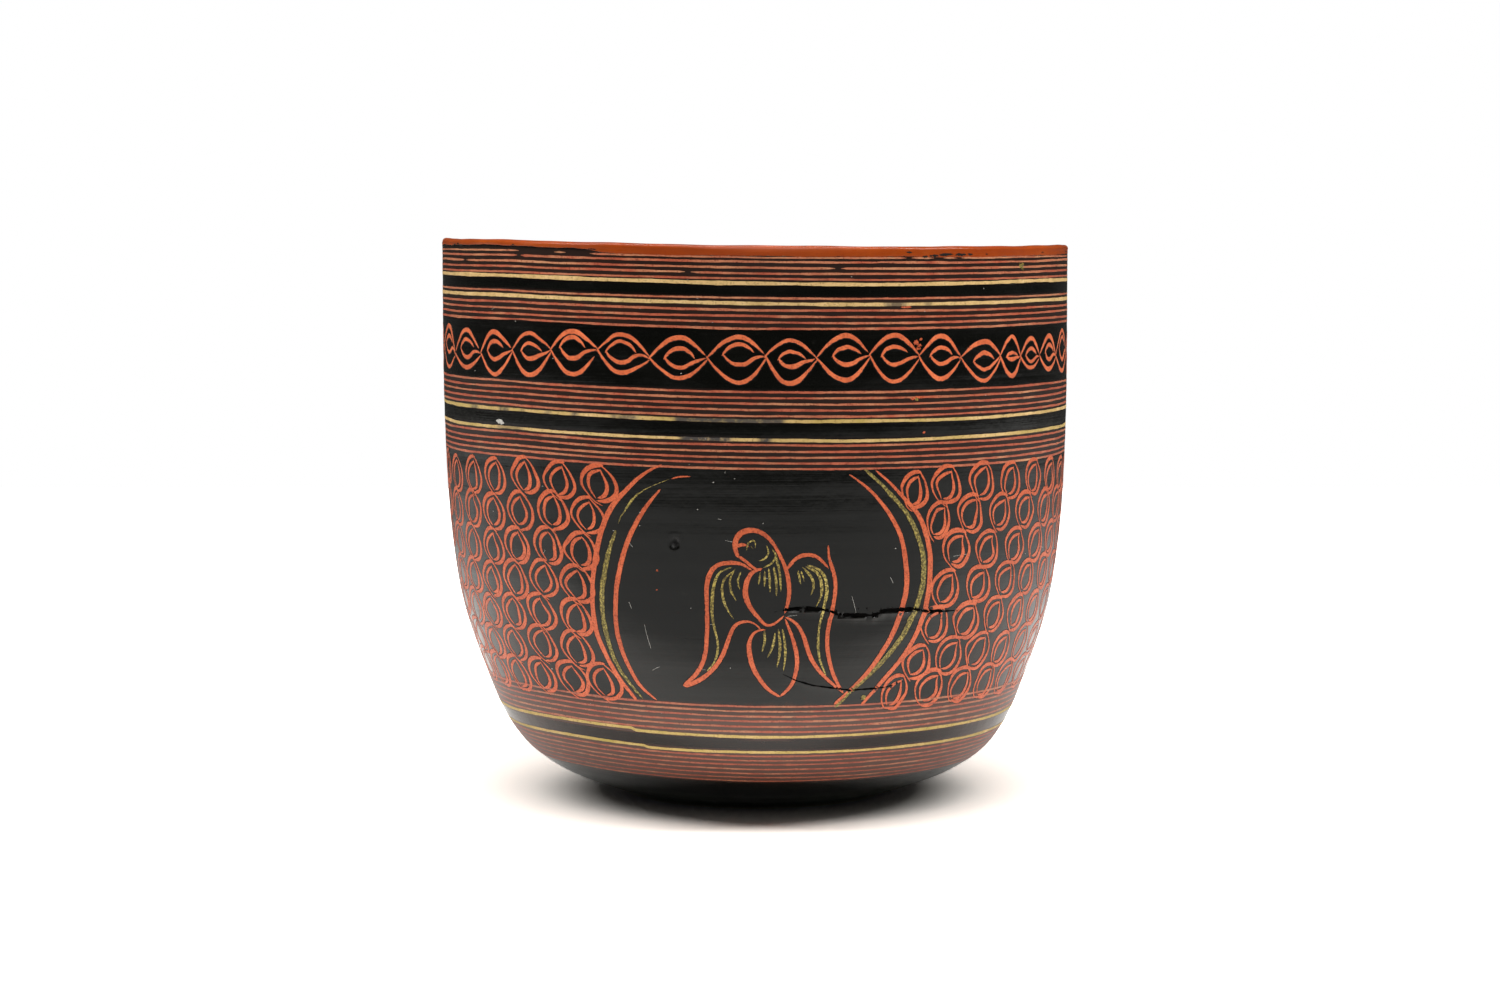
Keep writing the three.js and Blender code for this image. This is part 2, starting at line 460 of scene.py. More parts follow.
def red_lacquer():
    n = Nodes("red_lacquer")
    turn = n.noise(n.scaled(18, 18, 700), 1.0, 4.0, 0.6)
    cloud = n.noise(n.scaled(32, 32, 60), 1.0, 5.0, 0.6)
    speck = n.noise(n.c, 700.0, 3.0, 0.6)
    wear = n.attribute("wear")
    base = n.ramp(cloud, [(0.3, (0.275, 0.040, 0.003)), (0.55, (0.345, 0.058, 0.0045)), (0.75, (0.42, 0.084, 0.007))])
    base = n.mix(n.ramp(turn, [(0.3, 0.45), (0.6, 0.0)]), base, (0.29, 0.033, 0.005))
    base = n.mix(n.ramp(speck, [(0.62, 0.0), (0.74, 0.6)]), base, (0.24, 0.030, 0.008))
    edge = n.math("MULTIPLY", wear, n.ramp(n.noise(n.c, 260.0, 4.0, 0.65), [(0.35, 0.1), (0.6, 1.0)]), True)
    base = n.mix(edge, base, (0.040, 0.012, 0.008))
    rough = n.ramp(cloud, [(0.3, 0.20), (0.7, 0.34)])
    rough = n.mix(n.ramp(turn, [(0.35, 0.5), (0.65, 0.0)]), rough, 0.42)
    b1 = n.bump(turn, 0.00006, 0.5)
    b2 = n.bump(n.noise(n.c, 140.0, 3.0), 0.0002, 0.3, b1)
    return n.done(base, rough, b2, Specular_IOR_Level=0.26)


def pigment(name, deep, mid, pale, dark, rough=0.5, other=(0.60, 0.285, 0.125), grainy=(0.54, 0.66, 0.85)):
    """Powder colour worked into an engraved line: grainy, with a paler bloom and dark flecks."""
    n = Nodes(name)
    grain = n.noise(n.c, 2300.0, 3.0, 0.7)
    cloud = n.noise(n.c, 260.0, 4.0, 0.65)
    tan = n.attribute("tan")
    worn = n.attribute("worn")
    base = n.ramp(cloud, [(0.3, deep), (0.52, mid), (0.75, pale)])
    base = n.mix(tan, base, other)
    fleck = n.ramp(grain, [(grainy[0], 0.0), (grainy[1], grainy[2])])
    base = n.mix(fleck, base, dark)
    lost = n.math("MULTIPLY", worn, n.ramp(n.noise(n.c, 620.0, 4.0, 0.7), [(0.30, 0.45), (0.52, 1.0)]), True)
    base = n.mix(lost, base, (0.052, 0.044, 0.040))
    b1 = n.bump(grain, 0.00004, 0.5)
    return n.done(base, n.ramp(grain, [(0.3, rough - 0.06), (0.7, rough + 0.12)]), b1, Specular_IOR_Level=0.4)


# Near-black matte: painted shade for the cuts beside the pigment and for the creases, and the real black lacquer
# showing in the lip's chips
def groove_black():
    n = Nodes("groove_black")
    g = n.noise(n.c, 1300.0, 2.0)
    base = n.ramp(g, [(0.35, (0.0018, 0.0014, 0.0012)), (0.7, (0.006, 0.0035, 0.0025))])
    return n.done(base, n.ramp(g, [(0.3, 0.55), (0.7, 0.8)]), n.bump(g, 0.00003, 0.4), Specular_IOR_Level=0.3)


def gap_black():
    """Painted shade for the inside of an opening: near-black and matte, standing in for the shadow deep in the gap."""
    n = Nodes("gap_black")
    g = n.noise(n.c, 900.0, 3.0)
    base = n.ramp(g, [(0.35, (0.0006, 0.0005, 0.0005)), (0.7, (0.0022, 0.0017, 0.0014))])
    return n.done(base, n.ramp(g, [(0.3, 0.9), (0.7, 1.0)]), n.bump(g, 0.00004, 0.5), Specular_IOR_Level=0.03)


def pale_fleck():
    n = Nodes("pale_fleck")
    g = n.noise(n.c, 1500.0, 2.0)
    return n.done(n.ramp(g, [(0.3, (0.32, 0.31, 0.28)), (0.7, (0.62, 0.60, 0.56))]), 0.7, Specular_IOR_Level=0.3)


def bamboo():
    n = Nodes("bamboo")
    turnwise = n.noise(n.scaled(60, 60, 1500), 1.0, 4.0, 0.6)
    cloud = n.noise(n.c, 60.0, 3.0)
    base = n.ramp(turnwise, [(0.3, (0.30, 0.18, 0.070)), (0.5, (0.46, 0.30, 0.13)), (0.72, (0.60, 0.43, 0.21))])
    base = n.mix(n.ramp(cloud, [(0.4, 0.0), (0.75, 0.5)]), base, (0.26, 0.15, 0.06))
    return n.done(base, n.ramp(turnwise, [(0.3, 0.75), (0.7, 0.6)]), n.bump(turnwise, 0.0001, 0.6), Specular_IOR_Level=0.3)


BLACK, RED, BAMBOO = black_lacquer(), red_lacquer(), bamboo()
PIG_RED = pigment("red_pigment", (0.47, 0.084, 0.027), (0.59, 0.116, 0.039), (0.71, 0.158, 0.060), (0.20, 0.024, 0.010), 0.42, grainy=(0.50, 0.62, 0.7))
PIG_CHAIN = pigment("chain_pigment", (0.54, 0.105, 0.034), (0.69, 0.148, 0.048), (0.82, 0.200, 0.072), (0.24, 0.030, 0.011), 0.42, grainy=(0.52, 0.64, 0.6))
PIG_RING = pigment("ring_pigment", (0.30, 0.058, 0.026), (0.42, 0.090, 0.042), (0.52, 0.138, 0.068), (0.17, 0.028, 0.012), 0.42, (0.60, 0.31, 0.155))
PIG_GOLD = pigment("gold_pigment", (0.32, 0.238, 0.046), (0.50, 0.385, 0.086), (0.68, 0.545, 0.170), (0.060, 0.044, 0.010), 0.5, (0.125, 0.108, 0.022), grainy=(0.42, 0.54, 0.92))
PIG_GOLD_RING = pigment("gold_ring_pigment", (0.52, 0.34, 0.125), (0.65, 0.435, 0.180), (0.74, 0.52, 0.245), (0.25, 0.155, 0.045), 0.5, (0.40, 0.30, 0.06))
CUT_SHADE_AND_CHIP_BLACK, FLECK, GAP_SHADE = groove_black(), pale_fleck(), gap_black()

# ---------------------------------------------------------------------------
# The black shell
# ---------------------------------------------------------------------------
FRONT = math.radians(62)
n_front, n_back = 302, 138
PHI = np.r_[
    np.linspace(-FRONT, FRONT, n_front, endpoint=False),
    np.linspace(FRONT, 2 * math.pi - FRONT, n_back, endpoint=False),
]
PHI = np.where(PHI > math.pi, PHI - 2 * math.pi, PHI)


def shell_rows():
    # Regular rows, in t, above the flat
    t0, t1 = FLAT, LENGTH - 2.0
    count = 198
    step = (t1 - t0) / (count - 1)
    base = t0 + np.arange(count) * step
    grid = np.repeat(base[:, None], len(PHI), 1)
    for c in CRACKS:
        tc, on = c.at(PHI)
        inside = (PHI > c.phi[0] - 0.26) & (PHI < c.phi[-1] + 0.26)
        k0 = int((c.mean - t0) / step) + 0.5  # rows sit at half steps from the crack
        nominal = t0 + k0 * step
        # how far each row is from the crack's row
        for m in np.nonzero(inside)[0]:
            fade = smooth(
                min(PHI[m] - (c.phi[0] - 0.26), (c.phi[-1] + 0.26) - PHI[m]) / 0.26
            )
            u = np.arange(count) - k0
            half = c.width / 2 * max(on[m], 0.05)
            knots = np.array([0, 0.5, 1.5, 2.5, 3.5, 4.5, 6.5, 9.5, 13.5])
            far = 13.5 * step
            pressed = np.array([0, half * 0.7, half + 0.03, half + 0.22, half + 0.55, 1.05, 2.4, 5.4, far])
            regular = knots * step
            f = smooth(on[m] * 3)
            g = np.interp(np.abs(u), knots, regular * (1 - f) + pressed * f)
            shift = (tc[m] - nominal) * fade
            reach = smooth(1 - (np.abs(u) - 6) / 16)
            new = nominal + np.sign(u) * np.where(np.abs(u) <= 13.5, g, np.abs(u) * step) + shift * reach
            near = np.abs(u) < 24
            grid[near, m] = new[near]
    # The last rows close up on the lip's edge
    top = t_of_z(lip_edge(PHI) - 0.02)
    w = smooth((base - (t1 - 8)) / 8)[:, None]
    grid = grid + w * (top[None, :] - t1)
    return grid


grid = shell_rows()
rings_bands = [(131.4, 124.2), (121.9, 114.3), (101.1, 93.9), (90.5, 83.2), (30.1, 21.5), (18.8, 10.2)]


def stain_of(phi, z):
    s = np.zeros_like(z)
    for a, b in rings_bands:
        s = np.maximum(s, smooth((z - b) / 0.5) * smooth((a - z) / 0.5))
    return s


phi_grid = np.repeat(PHI[None, :], len(grid), 0)
rows = [place(0.0, 0.0, 0.0)]
stain, crack_shade_rows, wear, rubbed = [np.zeros(1)], [np.zeros(1)], [np.zeros(1)], [np.zeros(1)]
for t in (3.0, 8.0, 14.0, 18.0, 20.5, 22.5):
    h = 0.012 * np.sin(7 * PHI + t) + 0.35 * smooth((19.0 - t) / 14)  # hollow middle: it stands on a ring
    rows.append(place(PHI, np.full(len(PHI), t), np.maximum(h, 0)))
    stain.append(np.zeros(len(PHI)))
    crack_shade_rows.append(np.zeros(len(PHI)))
    wear.append(np.full(len(PHI), smooth((t - 16) / 4) * 0.7))
    rubbed.append(np.zeros(len(PHI)))
outer = outside(phi_grid, grid)
outer[..., 2] = np.maximum(outer[..., 2], 0)
zz = lut(ZZ, grid)
# Painted shade mask: the crack openings and the pit
crack_shade_grid = np.zeros_like(grid)
for c in CRACKS:
    tc, on = c.at(phi_grid)
    half = c.width / 2 * np.maximum(on, 0.05)
    crack_shade_grid = np.maximum(crack_shade_grid, (np.abs(grid - tc) < half * 0.99) * (on > 0.02))
pit = np.hypot((phi_grid - math.radians(-14.2)) * 73.2, grid - t_of_z(66.6))
crack_shade_grid = np.maximum(crack_shade_grid, 0.95 * np.exp(-((pit / 0.95) ** 4)))
for k in range(len(grid)):
    rows.append(outer[k])
    stain.append(stain_of(PHI, zz[k]) * 0.85)
    # Painted sheen: the lower band and the flanks seen edge-on are lightened as if veiled by reflected light
    low = smooth((31.5 - zz[k]) / 6) * smooth((zz[k] - 8.5) / 3)
    flank_sheen = 0.30 * smooth((np.abs(np.sin(PHI)) - 0.55) / 0.4) * smooth((62 - zz[k]) / 34) * smooth((zz[k] - 8.5) / 3)
    rubbed.append(np.maximum(low * stain_of(PHI, zz[k]) * 0.85 + low * 0.10, flank_sheen))
    crack_shade_rows.append(crack_shade_grid[k])
    # Painted highlight: a pale strip under the first crack where the lifted lacquer catches the light; it rides in wear
    # beside the real wear at the foot
    lifted_highlight = np.zeros(len(PHI))
    for c in CRACKS[:1]:
        tc, on = c.at(PHI)
        d = tc - grid[k]
        lifted_highlight = np.maximum(lifted_highlight, 0.075 * on * smooth((d - 0.2) / 0.15) * smooth((1.9 - d) / 0.7))
    wear.append(np.maximum(0.85 * smooth(1 - (grid[k] - 23.0) / 4.0), lifted_highlight))
# Back of the shell, coarser, from the lip down to the middle
top = grid[-1]
for f in np.linspace(0, 1, 22)[:-1]:
    t = top * (1 - f) + 6.0 * f
    z = np.maximum(lut(ZZ, t) - SHELL_T * lut(NZ, t), 0.3)
    rows.append(place(PHI, lut(RR, t) - SHELL_T * lut(NR, t), z))
    for a in (stain, crack_shade_rows, wear, rubbed):
        a.append(np.zeros(len(PHI)))
rows.append(place(0.0, 0.0, SHELL_T))
for a in (stain, crack_shade_rows, wear, rubbed):
    a.append(np.zeros(1))
shell = turned(
    "black_lacquer_body",
    rows,
    PHI,
    BLACK,
    {"stain": np.concatenate(stain), "crack": np.concatenate(crack_shade_rows), "wear": np.concatenate(wear), "rubbed": np.concatenate(rubbed)},
    sharp=38,
)
on_root(shell, ["black_lacquer_shell"])

# ---------------------------------------------------------------------------
# The red lining, over the rim and down outside as the lip
# ---------------------------------------------------------------------------
PHI_L = np.r_[
    np.linspace(-FRONT, FRONT, 300, endpoint=False),
    np.linspace(FRONT, 2 * math.pi - FRONT, 200, endpoint=False),
]
PHI_L = np.where(PHI_L > math.pi, PHI_L - 2 * math.pi, PHI_L)


def inner_relief(phi, t):
    z = lut(ZZ, t)
    return 0.03 * np.cos((t + phi * 5.9 / (2 * math.pi)) * 2 * math.pi / 5.9) * smooth(t / 12) + 0.06 * np.sin(
        4 * phi + z / 15
    ) * smooth(t / 40)


def rim_shape():
    """(radius, height) of the rim's rounded top, from inside to outside."""
    r_in, r_out = 75.0 - WALL, 75.0
    a = np.linspace(0, math.pi / 2, 8)
    pts = [(r_in + 2.9 - 2.9 * math.cos(x), HEIGHT - 2.1 + 2.1 * math.sin(x)) for x in a]
    pts += [(r_out - 0.8 + 0.85 * math.sin(x), HEIGHT - 0.9 + 0.9 * math.cos(x)) for x in a]
    return pts


rows, wear = [place(0.0, 0.0, WALL)], [np.zeros(1)]
for t in np.r_[np.linspace(2.5, LENGTH - 3.2, 128)]:
    tt = np.full(len(PHI_L), t)
    d = -WALL + inner_relief(PHI_L, tt)
    rows.append(place(PHI_L, np.maximum(lut(RR, tt) + d * lut(NR, tt), 0.3), lut(ZZ, tt) + d * lut(NZ, tt)))
    wear.append(0.16 * smooth((34 - tt) / 22))
dip = 0.10 * np.sin(3 * PHI_L + 1) + 0.06 * np.sin(11 * PHI_L) + 0.04 * np.sin(29 * PHI_L + 2)
for k, (r, z) in enumerate(rim_shape()):
    rows.append(place(PHI_L, np.full(len(PHI_L), r), z + dip * smooth((z - (HEIGHT - 1.5)) / 1.0)))
    wear.append(np.full(len(PHI_L), 0.42 if 4 < k < 12 else 0.14))
edge = lip_edge(PHI_L)
ragged = 0.05 * np.sin(211 * PHI_L) * np.sin(57 * PHI_L) + 0.03 * np.sin(389 * PHI_L + 1)
for f, h in ((0.25, 0.05), (0.5, 0.05), (0.75, 0.05), (0.93, 0.045), (1.0, 0.02)):
    z = (HEIGHT - 0.9) * (1 - f) + (edge + ragged) * f
    rows.append(place(PHI_L, 75.0 + h + relief(PHI_L, t_of_z(z)), z))
    wear.append(np.full(len(PHI_L), 0.12))
rows.append(place(PHI_L, 75.0 - SHELL_T, edge + 0.02))
wear.append(np.zeros(len(PHI_L)))
rows.append(place(PHI_L, 75.0 - SHELL_T, HEIGHT - 1.4 + 0 * PHI_L))
wear.append(np.zeros(len(PHI_L)))
rows.append(place(PHI_L, 75.0 - WALL + LINING_T, HEIGHT - 1.4 + 0 * PHI_L))
wear.append(np.zeros(len(PHI_L)))
for t in np.linspace(LENGTH - 6, 5, 30):
    d = -(WALL - LINING_T)
    tt = np.full(len(PHI_L), t)
    rows.append(place(PHI_L, np.maximum(lut(RR, tt) + d * lut(NR, tt), 0.3), lut(ZZ, tt) + d * lut(NZ, tt)))
    wear.append(np.zeros(len(PHI_L)))
rows.append(place(0.0, 0.0, WALL - LINING_T))
wear.append(np.zeros(1))
# This one is wound from the inside out, so its rows run the other way round
lining = turned("red_lacquer_lining_skin", rows[::-1], PHI_L, RED, {"wear": np.concatenate(wear[::-1])}, sharp=45)
on_root(lining, ["red_lacquer_lining"])


# ---------------------------------------------------------------------------
# Engraved lines, each a slim closed ribbon of pigment set in the lacquer
# ---------------------------------------------------------------------------
class Ribbons:
    def __init__(self):
        self.v, self.q, self.tan, self.worn, self.n = [], [], [], [], 0

    def strip(self, phi, t, left, right, high, low=-0.03, tan=0.0, worn=0.0, closed=False, flat=False):
        """A ribbon along phi, t with half widths left and right in mm, its top at high and its buried edge at low."""
        a = phi * lut(RR, t)
        if closed:
            da = (np.roll(phi, -1) - np.roll(phi, 1) + 3 * math.pi) % (2 * math.pi) - math.pi
            da = da * lut(RR, t)
            dt = np.roll(t, -1) - np.roll(t, 1)
        else:
            da, dt = np.gradient(phi) * lut(RR, t), np.gradient(t)
        length = np.maximum(np.hypot(da, dt), 1e-9)
        na, nt = -dt / length, da / length  # to the left of the way it runs
        r = np.maximum(lut(RR, t), 1.0)

        def at(side, h):
            return outside(phi + na * side / r, t + nt * side, h)

        if flat:
            cols = [at(left, low), at((left - right) / 2, high), at(-right, low)]
        else:
            rim = np.minimum(0.06, 0.3 * (left + right))
            cols = [at(left, low), at(left - rim * 0.5, high), at(-right + rim * 0.5, high), at(-right, low)]
        k, m = len(cols), len(phi)
        self.v.append(np.stack(cols, 1).reshape(-1, 3))
        i = np.arange(m if closed else m - 1)
        j = (i + 1) % m
        for c in range(k):
            d = (c + 1) % k
            self.q.append(self.n + np.stack([i * k + c, i * k + d, j * k + d, j * k + c], 1))
        if not closed:
            for e, flip in ((0, False), (m - 1, True)):
                ring = [self.n + e * k + c for c in range(k)]
                if flip:
                    ring = ring[::-1]
                if k == 3:
                    ring = ring + [ring[-1]]
                self.caps = getattr(self, "caps", [])
                self.caps.append(ring)
        for store, value in ((self.tan, tan), (self.worn, worn)):
            store.append(np.repeat(np.broadcast_to(value, (m,)), k))
        self.n += m * k

    def make(self, name, material, slot=None):
        quads = np.concatenate(self.q)
        caps = getattr(self, "caps", [])
        full = [c for c in caps if len(set(c)) == 4]
        part = [c[:3] for c in caps if len(set(c)) == 3]
        if full:
            quads = np.concatenate([quads, np.array(full)])
        ob = mesh_object(
            name, np.concatenate(self.v), quads[:, ::-1], np.array(part)[:, ::-1] if part else None, material,
            {"tan": np.concatenate(self.tan), "worn": np.concatenate(self.worn)}, sharp=50,
        )
        return on_root(ob)


rng = np.random.default_rng(7041)


def wobble(n, step, wave, amount, closed=False):
    """Smooth unevenness along a line: n samples, step mm apart, with bumps wave mm long."""
    knots = max(4, int(n * step / wave) + 2)
    v = rng.normal(0, 1, knots)
    if closed:
        x = np.arange(n) / n * knots
        i = np.floor(x).astype(int)
        f = smooth(x - i)
        return amount * (v[i % knots] * (1 - f) + v[(i + 1) % knots] * f)
    x = np.arange(n) / max(n - 1, 1) * (knots - 1.001)
    i = np.floor(x).astype(int)
    f = smooth(x - i)
    return amount * (v[i] * (1 - f) + v[i + 1] * f)


def ring(rib, z, width, high=0.030, tan=0.0, gaps=(), step_deg=0.5, jump=None, worn=None, extra=0.0):
    """A line turned right round at height z. gaps are (from, to) in degrees where no pigment is left."""
    n = int(360 / step_deg)
    phi = np.linspace(-math.pi, math.pi, n, endpoint=False)
    t = np.full(n, t_of_z(z)) + wobble(n, 0.65, 28, 0.055, True) + wobble(n, 0.65, 6, 0.022, True)
    if jump:
        t = t + jump(phi)
    w = width / 2 * (1 + wobble(n, 0.65, 9, 0.09, True) + wobble(n, 0.65, 1.6, 0.05, True))
    l, r = w + wobble(n, 0.65, 1.3, 0.022, True), w + wobble(n, 0.65, 1.3, 0.022, True)
    tn = np.clip(tan + wobble(n, 0.65, 14, 0.16, True) + wobble(n, 0.65, 2.5, 0.12, True), 0, 1) if tan > 0 else 0.0
    wn = worn(phi) if worn else 0.0
    high = high + extra
    if not gaps:
        rib.strip(phi, t, l, r, high, tan=tn, worn=wn, closed=True)
        return
    keep = np.ones(n, bool)
    deg = np.degrees(phi)
    for a, b in gaps:
        keep &= ~((deg > a) & (deg < b))
    idx = np.nonzero(~keep)[0]
    order = np.roll(np.arange(n), -(idx[0]))
    run = []
    for i in list(order) + [None]:
        if i is not None and keep[i]:
            run.append(i)
        elif run:
            if len(run) > 3:
                i0 = np.array(run)
                p = np.unwrap(phi[i0])
                end = np.clip(np.minimum(np.arange(len(i0)), np.arange(len(i0))[::-1]) / 2.0, 0.25, 1)
                pick = lambda v: v[i0] if not np.isscalar(v) else v
                rib.strip(p, t[i0], l[i0] * end, r[i0] * end, high, tan=pick(tn), worn=pick(wn))
            run = []


def scatter_gaps(count, lo, hi, smallest=0.4, largest=2.2):
    out = []
    for _ in range(count):
        a = rng.uniform(lo, hi)
        out.append((a, a + rng.uniform(smallest, largest)))
    return out


red_rings, gold_rings = Ribbons(), Ribbons()
# under the lip: the first line is broken and tan where the lip's paint has chipped
ring(red_rings, 130.22, 0.38, tan=0.40, gaps=scatter_gaps(9, -46, -28, 0.4, 1.8) + scatter_gaps(3, 26, 42, 0.4, 1.4) + scatter_gaps(16, 75, 290))
for z, tan, wide in ((129.25, 0.24, 0.50), (128.0, 0.34, 0.50), (126.75, 0.19, 0.48), (125.5, 0.12, 0.44)):
    ring(red_rings, z, wide, tan=tan, gaps=scatter_gaps(2, -179, 176, 0.2, 0.6))
ring(red_rings, 121.3, 0.40, tan=0.25)
for z in (118.65, 117.34, 115.97, 114.72):
    ring(red_rings, z, 0.50, tan=0.14)
for z in (100.65, 99.33, 97.98, 96.65, 95.33):
    ring(red_rings, z, 0.50, tan=0.10)
for z in (88.86, 87.44, 86.14, 84.85, 83.63):
    ring(red_rings, z, 0.50, tan=0.12)
for z in (29.5, 28.3, 27.1, 25.88, 24.62, 23.35):
    ring(red_rings, z, 0.50, tan=0.10, worn=lambda phi: 0.22 + 0 * phi)
for z in (17.35, 16.25, 15.2, 14.05, 12.9, 11.75, 10.75):
    ring(red_rings, z, 0.48, tan=0.08, worn=lambda phi: 0.30 + 0 * phi)
red_rings.make("ring_lines_red", PIG_RING)


def bare(*spans):
    """How worn the gold is, from 0 to 1, inside spans of degrees."""

    def f(phi):
        deg = np.degrees(phi)
        out = np.zeros_like(phi)
        for a, b, amount in spans:
            out = np.maximum(out, amount * smooth((deg - a) / 1.2) * smooth((b - deg) / 1.2))
        return out

    return f


def step_at(deg, amount):
    """The line's end missed its start by a little, at deg."""
    return lambda phi: amount * smooth((math.radians(deg) - phi) / 0.02) * smooth((phi + 1.4) / 0.8)


ring(gold_rings, 124.55, 0.84, high=0.036)
ring(gold_rings, 120.1, 0.80, high=0.036, worn=bare((22, 27, 0.8), (29.5, 32, 0.6)))
ring(gold_rings, 94.2, 0.72, high=0.036, tan=0.3, worn=bare((-62, -58, 0.7), (-52, -48, 0.8), (-46, -44, 0.7), (-40, -37.5, 0.6), (-34, -31.5, 0.9), (-26, -20, 0.7), (-14.5, 5.4, 0.95), (140, 171, 0.9)))
ring(gold_rings, 90.0, 0.72, high=0.036, tan=0.3, worn=bare((-53, -44, 0.5), (-13.5, -3.6, 1.0), (0, 3.2, 1.0), (120, 133, 0.8)))
ring(gold_rings, 22.15, 0.74, high=0.036, tan=0.55, jump=step_at(-26, 0.55))
ring(gold_rings, 18.3, 0.70, high=0.036, tan=0.55, jump=step_at(-24, 0.45))
gold_rings.make("ring_lines_gold", PIG_GOLD_RING)

shadow = {}


def curve(points, ds, closed=False):
    """Points (degrees, z) joined by a smooth curve, as arrays phi, t every ds mm."""
    p = np.array(points, float)
    phi, t = np.radians(p[:, 0]), t_of_z(p[:, 1])
    r = float(np.mean(lut(RR, t)))
    a = phi * r
    s = np.r_[0, np.cumsum(np.hypot(np.diff(a), np.diff(t)))]
    if len(p) == 2:
        q = np.linspace(0, s[-1], max(4, int(s[-1] / ds)))
        return np.interp(q, s, a) / r, np.interp(q, s, t), s[-1]
    q = np.linspace(0, s[-1], max(6, int(s[-1] / ds)))
    return natural_spline(s, a)(q) / r, natural_spline(s, t)(q), s[-1]


def stroke(rib, points, widths, ds=0.3, high=0.030, under=None, tan=0.0, worn=0.0, burr=0.03, taper=(0.6, 0.6), shade=0.16, lean=0.05):
    """One cut of the graver. widths are the full widths along it, evenly spaced. under gets a painted shadow beside the
    pigment: a dark matte strip, wider by shade and pushed to one side by lean.
    """
    phi, t, length = curve(points, ds)
    n = len(phi)
    u = np.linspace(0, 1, n)
    w = np.interp(u, np.linspace(0, 1, len(widths)), widths) / 2
    s = u * length
    start = np.clip(s / max(taper[0], 1e-3), 0, 1) ** 0.6 if taper[0] else 1.0
    end = np.clip((length - s) / max(taper[1], 1e-3), 0, 1) ** 0.6 if taper[1] else 1.0
    w = np.maximum(w * start * end, 0.035)
    step = length / max(n - 1, 1)
    l = np.maximum(w + wobble(n, step, 2.4, burr * 0.7) * start * end, 0.03)
    r = np.maximum(w + (wobble(n, step, max(0.5, step), burr) + wobble(n, step, 2.4, burr * 0.5)) * start * end, 0.03)
    lift = rng.uniform(0, 0.006)
    rib.strip(phi, t, l, r, high + lift, tan=tan, worn=worn)
    if under is not None:
        m = slice(None, None, 2) if n > 8 else slice(None)
        under.strip(
            phi[m], t[m], (l + shade - lean)[m], (r + shade + lean)[m], 0.012 + rng.uniform(0, 0.004), low=-0.03,
        )


# Chain of lenses: nodes, and for each lens its top, bottom and inner eye, in degrees and z
NODES = [(-69.3, 106.0), (-57.3, 106.6), (-47.5, 107.7), (-37.9, 108.3), (-28.1, 109.0), (-18.3, 107.6), (-8.3, 108.0),
         (1.6, 108.6), (10.2, 108.2), (19.6, 108.9), (29.0, 108.5), (37.8, 108.0), (47.7, 107.9), (53.8, 107.6),
         (61.0, 107.3), (69.5, 106.9)]
LENSES = [(-63.1, 111.7, 103.1, 109.6, 105.4), (-52.5, 111.6, 102.0, 109.5, 105.4), (-42.8, 111.8, 102.3, 109.5, 106.0),
          (-33.2, 112.8, 103.2, 111.5, 106.7), (-23.8, 112.6, 104.0, 111.0, 106.3), (-13.2, 112.3, 103.3, 109.9, 105.6),
          (-3.0, 112.7, 102.6, 111.1, 106.6), (5.9, 112.1, 102.6, 109.6, 106.3), (15.4, 113.2, 103.4, 110.6, 106.8),
          (24.3, 113.2, 102.9, 110.7, 106.7), (33.5, 112.9, 103.3, 110.3, 106.7), (43.4, 111.4, 102.5, 108.8, 105.1),
          (51.1, 112.1, 103.3, 108.5, 107.0), (57.6, 111.5, 104.7, 109.2, 106.2), (65.8, 111.7, 104.0, 109.7, 106.3)]
last_front = NODES[-1][0]
step = (360 - (last_front - NODES[0][0])) / 22.0
for k in range(22):
    a = last_front + step * k
    b = a + step
    zc = 107.6 + rng.normal(0, 0.35)
    LENSES.append(((a + b) / 2 + rng.normal(0, 0.25), zc + 4.7 + rng.normal(0, 0.25), zc - 4.8 + rng.normal(0, 0.3),
                   zc + 2.5 + rng.normal(0, 0.3), zc - 1.7 + rng.normal(0, 0.3)))
    if k < 21:
        NODES.append((b + rng.normal(0, 0.2), zc + rng.normal(0, 0.2)))
NODES.append((NODES[0][0] + 360, NODES[0][1]))

